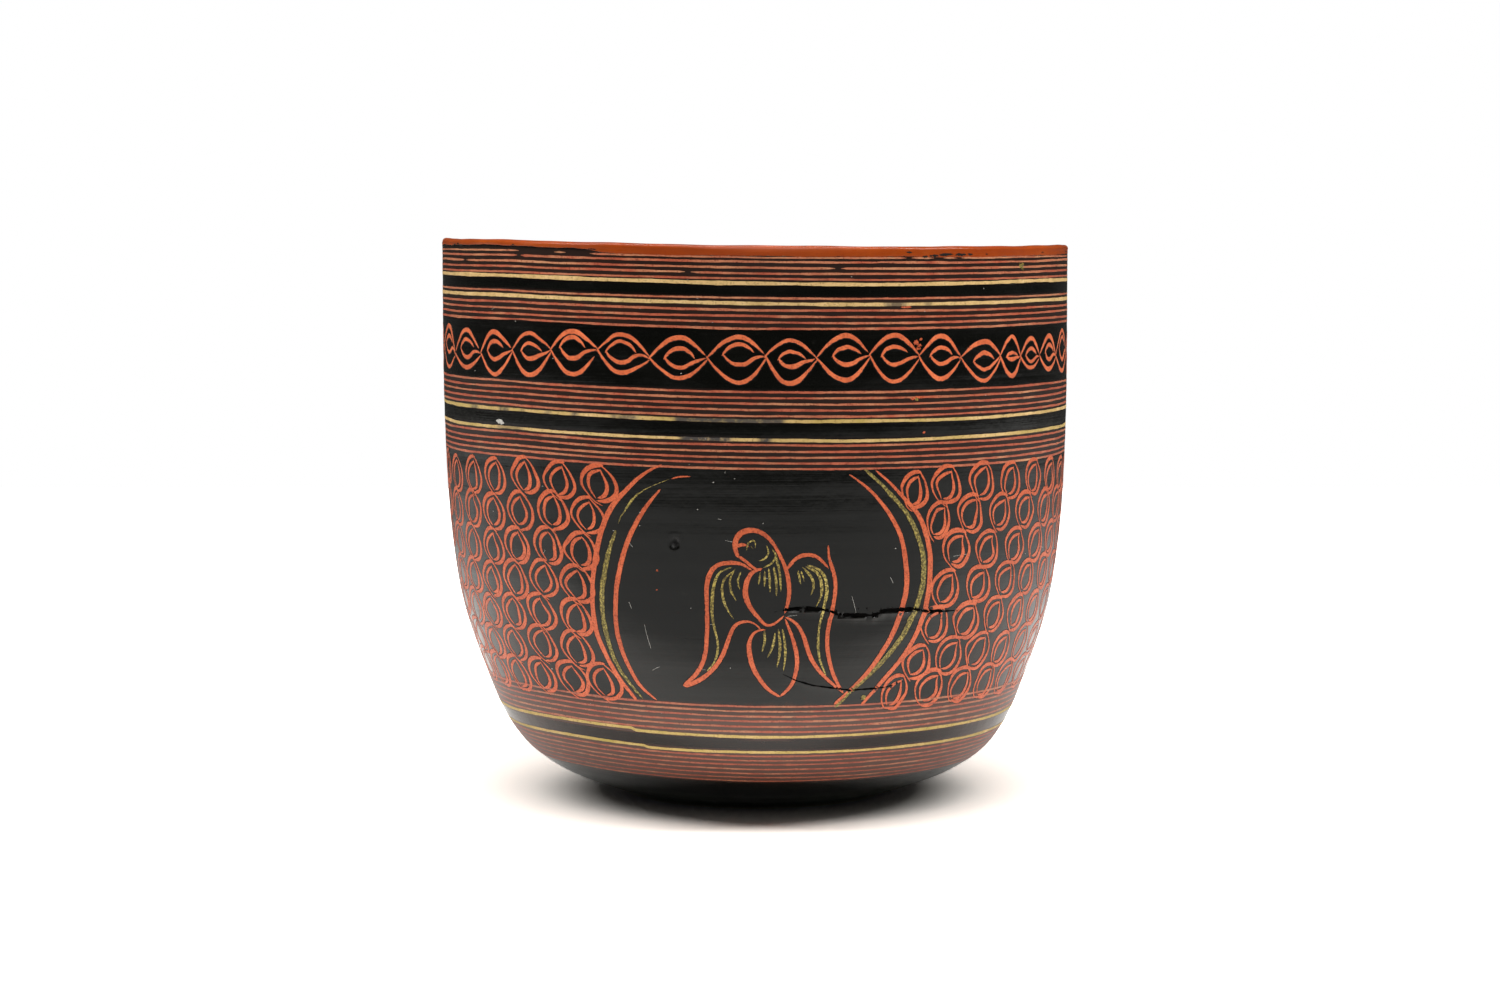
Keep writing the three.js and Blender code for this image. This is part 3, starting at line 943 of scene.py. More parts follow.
chain, groove = Ribbons(), Ribbons()
for k, (c, top, bottom, etop, ebot) in enumerate(LENSES):
    (a0, z0), (a1, z1) = NODES[k], NODES[k + 1]
    hi, lo = rng.uniform(0.78, 1.02), rng.uniform(0.80, 1.02)

    def arc(x0, y0, x1, y1, mid, peak, p, trim=(0.0, 0.0), n=9):
        """Points of a bow from x0, y0 over or under its peak to x1, y1."""
        out = []
        for u in np.linspace(-1 + trim[0], 1 - trim[1], n):
            x = mid + u * ((mid - x0) if u < 0 else (x1 - mid))
            flat = y0 + (y1 - y0) * (x - x0) / (x1 - x0)
            y = flat + (peak - flat) * max(math.cos(math.pi / 2 * u), 0.0) ** p
            out.append((x, y + rng.normal(0, 0.045)))
        return out

    cut = lambda: (max(0.0, rng.normal(-0.02, 0.06)), max(0.0, rng.normal(0.0, 0.07)))
    mid = c + rng.uniform(-0.35, 0.35)
    # over the top, heavy at its crown
    stroke(chain, arc(a0 - 0.25, z0 - 0.4, a1 + 0.1, z1 + 0.2, mid, top, 1.05, cut()),
           [0.32 * hi, 0.70 * hi, 1.10 * hi, 1.18 * hi, 0.85 * hi, 0.28], under=groove, burr=0.045)
    # under the bottom
    stroke(chain, arc(a0 - 0.1, z0 + 0.3, a1 + 0.2, z1 - 0.35, mid, bottom, 1.0, cut()),
           [0.4 * lo, 0.75 * lo, 1.0 * lo, 1.15 * lo, 0.75 * lo, 0.3], under=groove, burr=0.045)
    # the eye
    half = (a1 - a0) * 0.5
    left, right = c - half * rng.uniform(0.50, 0.58), c + half * rng.uniform(0.55, 0.64)
    em = (etop + ebot) / 2
    stroke(chain, arc(left, em - 0.35, right, em, mid, etop, 0.75, (0.0, max(0.0, rng.normal(0.02, 0.08)))),
           [0.35, 0.85 * hi, 1.05 * hi, 0.85 * hi, 0.30], under=groove, burr=0.04)
    stroke(chain, arc(left + 0.15, em + 0.2, right, em - 0.1, mid, ebot, 0.75)[:-1] + [(a1 - half * 0.14, (em + z1) / 2 - 0.25), (a1 - 0.15, z1 - 0.1)],
           [0.4, 0.80 * lo, 1.05 * lo, 1.0 * lo, 0.7, 0.35], under=groove, burr=0.04)
chain.make("chain_band_red", PIG_CHAIN)

# ---------------------------------------------------------------------------
# Panels: borders and birds. The front one is measured; the other two are the same
# design drawn again by hand.
# ---------------------------------------------------------------------------
ARC_L_OUT = [(-16.2, 84.0), (-19.4, 81.8), (-22.6, 78.2), (-25.4, 74.4), (-27.5, 69.7), (-28.9, 64.6), (-30.0, 58.9),
             (-30.6, 53.7), (-30.8, 48.6), (-30.4, 43.9), (-29.2, 39.3), (-27.8, 35.3), (-25.5, 31.2), (-24.4, 29.3)]
ARC_L_GOLD_A = [(-15.0, 80.8), (-17.6, 79.4), (-19.6, 78.1), (-21.3, 76.5), (-23.6, 72.6), (-24.6, 70.2)]
ARC_L_GOLD_B = [(-25.0, 68.7), (-26.5, 64.3), (-27.5, 60.1), (-28.4, 55.5), (-28.8, 50.8), (-28.6, 45.7), (-28.0, 40.5),
                (-26.6, 35.9), (-24.6, 32.4), (-23.0, 30.0)]
ARC_L_IN = [(-16.5, 78.5), (-18.9, 74.9), (-21.3, 70.2), (-23.1, 65.6), (-24.4, 60.9), (-25.5, 55.7), (-26.0, 51.1),
            (-26.2, 45.9), (-25.7, 41.3), (-24.7, 37.2), (-23.0, 33.1), (-20.0, 29.9)]
ARC_R_IN = [(16.2, 82.4), (18.6, 80.3), (21.6, 76.8), (24.3, 72.4), (26.4, 67.3), (27.4, 62.1), (27.9, 57.0), (27.5, 53.0),
            (26.7, 48.9), (25.5, 44.8), (23.7, 40.7), (21.4, 36.6), (18.1, 32.5), (15.6, 29.8)]
ARC_R_GOLD = [(19.0, 83.4), (21.9, 80.3), (25.2, 76.1), (27.8, 72.2), (29.8, 67.6), (31.0, 62.9), (31.3, 58.8), (30.9, 54.3),
              (29.8, 50.2), (28.2, 45.7), (25.9, 41.6), (22.7, 37.1), (19.4, 33.5), (15.9, 29.1)]
ARC_R_OUT = [(21.0, 83.2), (23.6, 80.5), (27.2, 76.0), (29.6, 72.7), (31.1, 69.0), (32.2, 64.9), (32.7, 59.8), (32.7, 55.7),
             (32.1, 50.1), (30.8, 45.0), (28.8, 40.4), (26.2, 36.3), (23.4, 32.2), (21.4, 29.3)]

# The bird, as (across, up) in mm from the panel's middle at z = 55: head turned to the left, wings hanging,
# a leaf for a tail. Each entry: points, widths.
BIRD_RED = [
    # crown, nape and back, down the right side of the body
    ([(-4.9, 6.3), (-5.6, 8.6), (-4.9, 11.3), (-2.7, 12.5), (0.0, 12.1), (2.3, 10.2), (4.1, 7.3), (5.6, 3.9), (6.3, 0.0), (6.1, -3.6), (5.3, -6.1)],
     [0.7, 1.25, 1.3, 1.1, 0.9, 0.75, 0.8, 0.95, 1.0, 0.9, 0.55]),
    # beak
    ([(-5.4, 8.8), (-4.0, 9.3), (-2.5, 8.8)], [0.9, 0.75, 0.3]),
    ([(-4.8, 6.6), (-3.0, 5.3), (-1.3, 4.0), (0.1, 3.5)], [0.8, 0.7, 0.6, 0.4]),
    # breast
    ([(0.4, 4.0), (-1.7, 3.1), (-3.1, 0.7), (-3.3, -2.0), (-2.3, -4.8), (-0.4, -7.3), (1.6, -8.9), (3.6, -8.1), (5.2, -6.6)],
     [0.5, 0.95, 1.2, 1.2, 1.05, 0.9, 0.7, 0.6, 0.4]),
    # left wing
    ([(-1.9, 3.5), (-4.3, 4.9), (-7.4, 5.1), (-9.9, 4.3), (-11.5, 1.9), (-12.0, -1.5), (-11.9, -5.6), (-11.9, -10.0), (-12.1, -14.2), (-12.9, -17.9), (-14.9, -21.2), (-17.4, -23.6)],
     [0.35, 0.8, 1.05, 1.1, 1.0, 0.95, 0.95, 0.95, 0.95, 1.0, 1.0, 0.7]),
    ([(-17.2, -23.7), (-13.6, -22.0), (-10.2, -18.9), (-8.0, -14.9), (-6.8, -11.4), (-5.4, -8.9), (-3.2, -8.1), (-0.9, -8.9), (0.2, -10.2)],
     [0.9, 1.1, 1.05, 1.0, 1.0, 0.95, 0.85, 0.6, 0.35]),
    # right wing
    ([(5.6, 3.4), (7.0, 5.4), (9.1, 6.9), (11.4, 7.0), (13.6, 5.8), (15.3, 3.9)], [0.55, 0.8, 0.95, 0.9, 0.65, 0.35]),
    ([(15.1, 9.2), (15.4, 6.2), (16.4, 3.0), (16.8, -0.6), (16.3, -4.4), (15.4, -8.5), (14.9, -12.6), (15.3, -16.6), (16.5, -20.9), (18.6, -25.0)],
     [0.35, 0.75, 0.95, 0.9, 0.95, 0.95, 1.0, 0.95, 0.85, 0.6]),
    # right leg feather
    ([(5.5, -6.9), (7.8, -8.4), (9.5, -11.2), (10.6, -14.8), (12.4, -18.6), (15.0, -21.6), (18.3, -24.6)],
     [0.5, 0.85, 0.95, 0.95, 0.85, 0.75, 0.5]),
    # tail
    ([(1.1, -9.9), (-0.9, -10.3), (-2.3, -12.2), (-2.5, -15.2), (-1.6, -18.9), (0.3, -22.2), (2.6, -24.6), (4.3, -25.6)],
     [0.4, 0.7, 1.05, 1.15, 1.05, 0.95, 0.8, 0.6]),
    ([(4.3, -25.5), (6.5, -23.2), (7.8, -19.8), (8.0, -15.9), (7.2, -12.2), (5.4, -7.3)], [0.6, 0.85, 0.95, 0.95, 0.8, 0.45]),
]
BIRD_GOLD = [
    ([(-3.1, 8.0), (-2.4, 9.9), (-1.5, 10.2), (-1.2, 8.6)], [0.3, 0.45, 0.4, 0.25]),  # eye
    ([(-2.2, 9.0), (-1.7, 8.4)], [0.35, 0.3]),
    ([(1.3, 9.2), (1.7, 7.6), (0.9, 6.2), (-0.4, 5.7)], [0.3, 0.45, 0.4, 0.25]),  # cheek
    ([(2.5, 8.5), (3.3, 6.9), (2.3, 5.1), (0.6, 4.2)], [0.3, 0.5, 0.45, 0.3]),
    ([(3.2, 7.2), (4.0, 4.2), (4.4, 1.2), (4.5, -1.1)], [0.45, 0.6, 0.55, 0.3]),  # neck feathers
    ([(2.9, 4.4), (3.4, 1.6), (3.5, -2.2)], [0.4, 0.6, 0.3]),
    ([(1.8, 4.0), (2.0, 1.4), (2.1, -1.3)], [0.4, 0.6, 0.3]),
    ([(0.9, 3.4), (0.9, 1.4), (0.8, -0.2)], [0.35, 0.55, 0.3]),
    ([(-0.1, 3.2), (-0.3, 1.7), (-0.4, 0.3)], [0.3, 0.5, 0.25]),
    ([(-6.3, 4.1), (-8.9, 3.0), (-10.3, 0.0), (-10.8, -4.2), (-10.4, -9.0), (-9.5, -13.6), (-10.2, -17.4), (-12.0, -19.9)],
     [0.3, 0.6, 0.75, 0.65, 0.5, 0.55, 0.5, 0.25]),  # left wing
    ([(-6.2, 3.2), (-8.0, 1.4), (-8.5, -1.8), (-7.6, -4.9), (-6.0, -7.5)], [0.3, 0.55, 0.6, 0.5, 0.25]),
    ([(-5.6, 3.9), (-6.7, 1.5), (-6.5, -1.2), (-5.4, -3.4)], [0.3, 0.5, 0.55, 0.3]),
    ([(-4.3, 3.2), (-5.0, 1.2), (-4.6, -0.9)], [0.3, 0.5, 0.3]),
    ([(8.3, 3.6), (8.9, 0.6)], [0.55, 0.4]),  # right wing
    ([(9.0, 3.5), (9.7, 1.1)], [0.45, 0.35]),
    ([(9.3, 4.3), (11.1, 2.4), (11.8, 0.2), (11.2, -2.0)], [0.3, 0.6, 0.6, 0.3]),
    ([(9.9, 4.5), (12.6, 3.0), (13.6, 0.4), (13.4, -2.6), (12.3, -4.8)], [0.3, 0.65, 0.7, 0.5, 0.25]),
    ([(10.3, 4.8), (13.4, 3.4), (14.8, 0.2), (14.3, -4.2), (13.2, -8.8), (12.8, -13.4), (13.4, -17.4), (14.7, -20.8)],
     [0.3, 0.75, 0.85, 0.7, 0.5, 0.6, 0.55, 0.3]),
    ([(0.8, -10.0), (0.9, -12.4), (0.3, -15.0)], [0.4, 0.6, 0.3]),  # tail feathers
    ([(3.2, -10.6), (2.7, -13.6), (1.5, -16.4)], [0.4, 0.6, 0.3]),
    ([(3.9, -9.7), (4.3, -14.0), (3.6, -18.6)], [0.4, 0.7, 0.3]),
    ([(4.8, -9.7), (5.5, -14.2), (5.0, -19.6)], [0.4, 0.65, 0.3]),
]
PANELS = [0.0, 120.0, -120.0]


def shifted(points, turn, jitter, mirror=False, middle=0.95):
    out = []
    for a, z in points:
        a = (2 * middle - a) if mirror else a
        out.append((a + turn + rng.normal(0, jitter) , z + rng.normal(0, jitter * 1.0)))
    return out


border_red, border_gold, bird_red, bird_gold = Ribbons(), Ribbons(), Ribbons(), Ribbons()
for k, turn in enumerate(PANELS):
    jit = 0.0 if k == 0 else 0.16
    mir = k == 2
    sh = lambda p: shifted(p, turn, jit, mir)
    fine = 0.16 if k == 0 else 0.4
    stroke(border_red, sh(ARC_L_OUT), [0.35, 0.9, 1.25, 1.35, 1.3, 1.15, 1.3, 1.25, 1.1, 0.8], ds=fine, under=groove, shade=0.12)
    stroke(border_red, sh(ARC_L_IN), [0.45, 0.95, 1.15, 1.2, 1.15, 1.1, 1.15, 1.05, 0.9, 0.45], ds=fine, under=groove, shade=0.12)
    stroke(border_red, sh(ARC_R_IN), [0.35, 0.7, 0.95, 1.1, 1.25, 1.35, 1.35, 1.25, 1.15, 1.0, 0.7], ds=fine, under=groove, shade=0.12)
    stroke(border_red, sh(ARC_R_OUT), [0.4, 0.75, 1.0, 1.25, 1.35, 1.4, 1.35, 1.25, 1.2, 1.05, 0.7], ds=fine, under=groove, shade=0.12)
    if k == 0:
        stroke(border_red, [(-11.2, 81.6), (-13.2, 81.4), (-14.6, 80.9)], [0.25, 0.4, 0.25], under=None)
        # nearly all worn away above, where only threads of it are left
        for k0, k1, side, wide in ((0.00, 0.22, 0.2, 0.10), (0.10, 0.40, -0.1, 0.14), (0.26, 0.58, 0.35, 0.20), (0.42, 0.66, -0.45, 0.26),
                                   (0.45, 0.86, 0.05, 0.34), (0.50, 0.80, 0.50, 0.24), (0.56, 0.93, -0.25, 0.30), (0.62, 0.84, 0.28, 0.22), (0.86, 1.0, 0.1, 0.14)):
            at = np.linspace(k0, k1, 6) * (len(ARC_L_GOLD_A) - 1)
            a = np.array(ARC_L_GOLD_A)
            thread = [(float(np.interp(v, range(len(a)), a[:, 0])) + side * 0.55, float(np.interp(v, range(len(a)), a[:, 1])) + side * 0.35) for v in at]
            stroke(border_gold, thread, [0.05, wide, wide * 0.7, wide, 0.05], ds=0.2, burr=0.06, tan=0.15)
        stroke(border_gold, ARC_L_GOLD_B, [0.6, 1.15, 1.3, 1.35, 1.2, 1.1, 1.0, 0.8, 0.5], ds=0.2, under=groove, tan=0.5, burr=0.07)
        for b, e, side in ((0.0, 0.5, -0.42), (0.04, 0.33, 0.45), (0.45, 0.98, -0.3), (0.6, 0.9, 0.3)):
            at = np.linspace(b, e, 9) * (len(ARC_L_GOLD_B) - 1)
            a = np.array(ARC_L_GOLD_B)
            thread = [(float(np.interp(v, range(len(a)), a[:, 0])) + side * 0.6, float(np.interp(v, range(len(a)), a[:, 1]))) for v in at]
            stroke(border_gold, thread, [0.1, 0.28, 0.2, 0.3, 0.1], ds=0.2, burr=0.05, high=0.038)
    else:
        stroke(border_gold, sh(ARC_L_GOLD_A[:-1] + ARC_L_GOLD_B), [0.4, 0.8, 0.95, 1.0, 1.0, 0.95, 0.9, 0.8, 0.5], ds=fine, under=groove)
    stroke(border_gold, sh(ARC_R_GOLD), [0.55, 0.95, 1.05, 1.15, 1.3, 1.45, 1.45, 1.3, 1.1, 1.0, 0.65], ds=fine, under=groove, tan=0.5, burr=0.07)
    if k == 0:
        for b, e, side in ((0.0, 0.36, -0.2), (0.3, 0.62, -0.48), (0.52, 0.80, 0.42), (0.7, 1.0, -0.1)):
            at = np.linspace(b, e, 9) * (len(ARC_R_GOLD) - 1)
            a = np.array(ARC_R_GOLD)
            thread = [(float(np.interp(v, range(len(a)), a[:, 0])) + side * 0.6, float(np.interp(v, range(len(a)), a[:, 1]))) for v in at]
            stroke(border_gold, thread, [0.1, 0.30, 0.2, 0.32, 0.1], ds=0.2, burr=0.05, high=0.038)
    for lines, rib, mat_high in ((BIRD_RED, bird_red, 0.031), (BIRD_GOLD, bird_gold, 0.037)):
        for pts, widths in lines:
            p = []
            for x, y in pts:
                x = -x if k == 2 else x
                z = 57.4 + y + (0 if k == 0 else rng.normal(0, 0.12))
                x = x + (1.1 if k != 2 else -1.1) + (0 if k == 0 else rng.normal(0, 0.12))
                p.append((math.degrees(x / r_of_z(z)) + turn + (0.0 if k != 2 else 2.0), z))
            stroke(rib, p, widths, ds=0.14 if k == 0 else 0.3, high=mat_high, under=groove, burr=0.035,
                   shade=0.13 if rib is bird_red else 0.05, taper=(0.5, 0.8))

# ---------------------------------------------------------------------------
# The net of leaf shapes between the panels
# ---------------------------------------------------------------------------
ROWS_L = [
    [(-28.3, 79.0), (-36.5, 79.1), (-45.0, 79.4), (-53.6, 78.6), (-61.8, 78.3), (-70.5, 77.9)],
    [(-30.7, 71.7), (-38.2, 72.2), (-46.6, 71.3), (-54.7, 70.4), (-62.8, 70.4), (-71.7, 70.0)],
    [(-32.4, 63.5), (-39.9, 63.9), (-48.1, 63.1), (-55.9, 62.2), (-64.3, 62.2), (-72.6, 62.0)],
    [(-33.9, 55.8), (-41.7, 56.2), (-49.7, 55.2), (-57.8, 54.4), (-65.8, 54.4), (-74.0, 54.2)],
    [(-34.8, 48.0), (-43.4, 48.3), (-51.8, 47.4), (-60.2, 46.6), (-68.4, 46.8)],
    [(-36.0, 40.5), (-44.9, 40.7), (-54.1, 39.6), (-62.9, 39.0), (-71.6, 39.4)],
    [(-31.2, 33.4), (-38.8, 33.1), (-47.8, 32.8), (-56.6, 32.2), (-65.4, 32.0), (-74.0, 32.2)],
]
ROWS_R = [
    [(28.6, 78.6), (35.3, 79.5), (43.8, 79.9), (51.9, 79.3), (59.9, 79.4), (68.1, 79.0)],
    [(33.9, 71.4), (41.2, 72.7), (49.2, 72.3), (57.4, 72.1), (65.8, 71.8), (73.8, 71.8)],
    [(38.4, 64.8), (46.3, 64.0), (54.7, 63.9), (62.9, 63.8), (71.0, 63.9)],
    [(36.7, 55.8), (44.7, 55.9), (52.8, 56.3), (60.6, 56.0), (68.8, 56.3)],
    [(35.0, 47.5), (42.8, 47.7), (50.6, 48.3), (58.6, 47.9), (66.6, 48.0)],
    [(32.3, 38.9), (39.9, 39.8), (48.0, 40.0), (56.0, 39.4), (64.4, 39.7), (73.0, 39.8)],
    [(28.4, 32.0), (36.8, 32.4), (45.3, 32.1), (53.6, 31.9), (61.9, 31.8), (70.6, 32.0)],
]
Z_ROW = [79.0, 71.6, 63.8, 55.8, 47.8, 40.0, 32.4]
# how far out, in degrees either side of a panel's middle, each row's first leaf may stand
CLEAR_L = [29.0, 31.5, 33.0, 34.0, 34.6, 33.5, 31.0]
CLEAR_R = [30.0, 33.5, 36.0, 36.5, 35.0, 32.3, 29.0]


def leaf(rib, c, z, tilt, half_w, half_h, fine, seed_shift=0.0):
    """Four cuts: two for the outer leaf, two for the inner. tilt leans its point to the right."""
    r = float(r_of_z(z))
    ct, st = math.cos(tilt), math.sin(tilt)

    def m(pts):
        out = []
        for x, y in pts:
            x, y = x * half_w, y * half_h
            x, y = x * ct + y * st, -x * st + y * ct
            out.append((c + math.degrees(x / r), float(np.clip(z + y, 28.0, 83.9))))
        return out

    j = lambda s=0.045: rng.normal(0, s)
    w = rng.uniform(1.0, 1.27)
    ax = 0.10 + j()
    # outer left: heavy shoulder, running out thin under the foot and into the leaf below
    stroke(rib, m([(ax + 0.12, 1.0), (-0.30 + j(), 0.93), (-0.80 + j(), 0.50 + j()), (-0.93 + j(), -0.02), (-0.62 + j(), -0.62), (-0.12 + j(), -1.02), (0.22 + j(), -1.18)]),
           [0.55 * w, 0.95 * w, 0.95 * w, 0.65 * w, 0.42, 0.34, 0.25], ds=fine, under=groove, shade=0.13)
    # outer right: thin from the point, heavy where it hooks round the foot
    stroke(rib, m([(ax - 0.16, 1.10), (0.42 + j(), 0.74), (0.82 + j(), 0.20), (0.90 + j(), -0.34 + j()), (0.55 + j(), -0.86), (-0.02 + j(), -0.98 + j())]),
           [0.26, 0.40, 0.62 * w, 0.95 * w, 0.90 * w, 0.45], ds=fine, under=groove, shade=0.13)
    # inner left
    stroke(rib, m([(ax + 0.02, 0.74), (-0.36 + j(), 0.42), (-0.55 + j(), -0.06), (-0.40 + j(), -0.52), (-0.08 + j(), -0.84)]),
           [0.45, 0.80 * w, 0.72 * w, 0.45, 0.28], ds=fine, under=groove, shade=0.12)
    # inner right
    stroke(rib, m([(ax - 0.06, 0.80), (0.30 + j(), 0.36), (0.50 + j(), -0.16), (0.36 + j(), -0.62), (-0.04 + j(), -0.80)]),
           [0.28, 0.50, 0.82 * w, 0.88 * w, 0.40], ds=fine, under=groove, shade=0.12)


def lean_at(deg):
    """Leaves lean right of the front panel and stand up left of it, by the engraver's hand."""
    return math.radians(4 + 15 * math.sin(math.radians(deg) * 1.0 + 0.2) + 6 * math.sin(math.radians(deg) * 3))


nets = [Ribbons() for _ in range(3)]


def net_for(deg):
    deg = deg % 360
    return nets[0 if deg < 120 else 1 if deg < 240 else 2]


PITCH = 8.15
for row in range(7):
    done = []
    for side, cells in ((-1, ROWS_L[row]), (1, ROWS_R[row])):
        for i, (c, z) in enumerate(cells):
            hw = 4.75 if side < 0 else 4.45
            tilt = math.radians(3) if side < 0 else math.radians(20 if row > 0 else 13)
            if side > 0 and i == 0 and row in (0, 1, 6):
                hw *= 0.8
            leaf(net_for(c), c, z, tilt, hw + rng.normal(0, 0.12), 4.15 + rng.normal(0, 0.1), 0.34)
    # the unseen rest, at the same pitch, up to each panel's border
    spans = [
        (ROWS_R[row][-1][0] + PITCH, 120 - CLEAR_L[row]),
        (120 + CLEAR_R[row], 240 - CLEAR_R[row]),
        (240 + CLEAR_L[row], 360 + ROWS_L[row][-1][0] - PITCH),
    ]
    for a, b in spans:
        if b < a - 3:
            continue
        count = max(1, round((b - a) / PITCH) + 1)
        for c in np.linspace(a, b, count) if count > 1 else [(a + b) / 2]:
            leaf(net_for(c), c + rng.normal(0, 0.3), Z_ROW[row] + rng.normal(0, 0.25), lean_at(c) * 0.6 + math.radians(6), 4.6 + rng.normal(0, 0.15), 4.1 + rng.normal(0, 0.12), 0.5)
for k, rib in enumerate(nets):
    rib.make(f"net_leaves_red_{k + 1}", PIG_RED)
border_red.make("panel_borders_red", PIG_RED)
border_gold.make("panel_borders_gold", PIG_GOLD)
bird_red.make("birds_red", PIG_RED)
bird_gold.make("birds_gold", PIG_GOLD)

# Fine creases beside the cracks, drawn as painted shade: thin dark matte strips
for pts, w in CREASES:
    stroke(groove, pts, [0.04, w, w * 1.2, w, 0.04], ds=0.3, high=0.02, burr=0.02)
# Painted shade: near-black matte strips laid in the crack openings, where the gap is in shadow
crack_shade_strips = Ribbons()
for c in CRACKS:
    p = np.linspace(c.phi[0] + 0.004, c.phi[-1] - 0.004, 160)
    tc, on = c.at(p)
    w = np.maximum(0.5 * c.width * on, 0.03) + np.abs(wobble(160, 0.4, 1.1, 0.035))
    crack_shade_strips.strip(p, tc, w * 0.9 + 0.10 * on, w * 0.9 + 0.05 * on, 0.05, low=-0.05)
crack_shade_strips.make("crack_openings_shade", GAP_SHADE)
groove.make("engraved_cut_shade", CUT_SHADE_AND_CHIP_BLACK)


# ---------------------------------------------------------------------------
# Chips, flecks and scratches
# ---------------------------------------------------------------------------
def dab(rib, deg, z, length, height, high=0.05):
    """A small ragged patch."""
    n = 14
    r = float(r_of_z(z))
    a = np.linspace(-1, 1, n)
    phi = math.radians(deg) + a * length / 2 / r
    t = np.full(n, float(t_of_z(z))) + wobble(n, 1, 3, height * 0.12)
    w = np.sqrt(np.maximum(1 - a * a, 0.0)) * height / 2
    w = np.maximum(w * (1 + rng.normal(0, 0.22, n)), 0.015)
    rib.strip(phi, t, w, np.maximum(w * (1 + rng.normal(0, 0.2, n)), 0.015), high, low=-0.02)


chips = Ribbons()
for deg, z, length, height in ((27.0, 131.6, 1.5, 0.40), (32.0, 130.75, 2.6, 0.55), (34.6, 131.0, 4.0, 0.66), (37.8, 130.95, 3.2, 0.60), (40.0, 131.0, 1.6, 0.45),
                               (30.2, 130.6, 1.4, 0.45), (44.0, 131.0, 0.8, 0.25), (-29.0, 131.2, 2.2, 0.3), (-47, 131.6, 0.9, 0.3)):
    dab(chips, deg, z, length, height, 0.085)
for _ in range(26):
    dab(chips, rng.uniform(60, 300), rng.uniform(130.9, 131.9), rng.uniform(0.5, 2.6), rng.uniform(0.15, 0.45), 0.085)
chips.make("lip_chips", CUT_SHADE_AND_CHIP_BLACK)

pale = Ribbons()
dab(pale, -51.4, 91.25, 2.6, 0.9, 0.06)
dab(pale, -50.6, 90.85, 1.5, 0.5, 0.062)
for _ in range(34):
    deg, z = rng.uniform(-75, 75), rng.uniform(33, 128)
    dab(pale, deg, z, rng.uniform(0.12, 0.4), rng.uniform(0.10, 0.2), 0.045)
for _ in range(40):
    deg, z = rng.uniform(75, 285), rng.uniform(20, 128)
    dab(pale, deg, z, rng.uniform(0.15, 0.6), rng.uniform(0.10, 0.25), 0.045)
pale.make("pale_flecks", FLECK)

spots_gold, spots_red = Ribbons(), Ribbons()
dab(spots_gold, 54.0, 128.1, 0.9, 1.9, 0.05)
dab(spots_gold, 28.6, 98.9, 0.7, 0.7, 0.05)
dab(spots_gold, 21.6, 31.1, 0.7, 1.2, 0.05)
spots_gold.make("spots_gold", PIG_GOLD)
for deg, z, l, h in ((28.4, 111.6, 1.3, 0.9), (28.9, 110.6, 0.8, 1.6), (29.4, 112.2, 0.7, 0.5), (29.0, 99.3, 3.4, 0.5), (27.9, 99.0, 1.4, 0.4),
                     (30.2, 91.4, 0.7, 0.4), (-17.5, 60.2, 0.4, 0.4), (-17.7, 55.8, 0.35, 0.3), (26.5, 119.4, 2.6, 0.4)):
    dab(spots_red, deg, z, l, h, 0.048)
spots_red.make("spots_red", PIG_RED)

scratch = Ribbons()
for pts in ([(-20.5, 47.6), (-20.2, 45.0), (-19.7, 42.2)], [(-22.5, 66.0), (-21.9, 65.2)], [(17.3, 55.0), (18.0, 52.4), (18.4, 50.6)],
            [(12.6, 63.6), (13.4, 63.1)], [(-23.2, 52.6), (-22.8, 51.2)], [(-6.5, 72.3), (-5.9, 72.2)], [(24.5, 59.0), (25.1, 57.7)]):
    stroke(scratch, pts, [0.03, 0.09, 0.03], ds=0.3, high=0.02, burr=0.01)
for _ in range(60):
    deg, z = rng.uniform(-180, 180), rng.uniform(8, 125)
    d, e = rng.normal(0, 1.2), rng.normal(0, 0.7)
    stroke(scratch, [(deg, z), (deg + d * 0.5, z + e * 0.4), (deg + d, max(z + e, 3))], [0.02, 0.05, 0.02], ds=0.5, high=0.012, burr=0.005)
for _ in range(5):
    deg, z = rng.uniform(-23, 25), rng.uniform(33, 80)
    d, e = rng.uniform(0.5, 1.6), rng.normal(0, 0.18)
    stroke(scratch, [(deg, z), (deg + d * 0.5, z + e), (deg + d, z + e * 1.3)], [0.01, 0.022, 0.01], ds=0.5, high=0.008, burr=0.004)
scratch.make("fine_scratches", FLECK)


# ---------------------------------------------------------------------------
# The core, hidden in the wall: splints, hoop and disc
# ---------------------------------------------------------------------------
def core_chain(inner):
    d = -(SHELL_T + GAP + (CORE_T if inner else 0))
    return lambda t: (np.maximum(lut(RR, t) + d * lut(NR, t), 0), lut(ZZ, t) + d * lut(NZ, t))


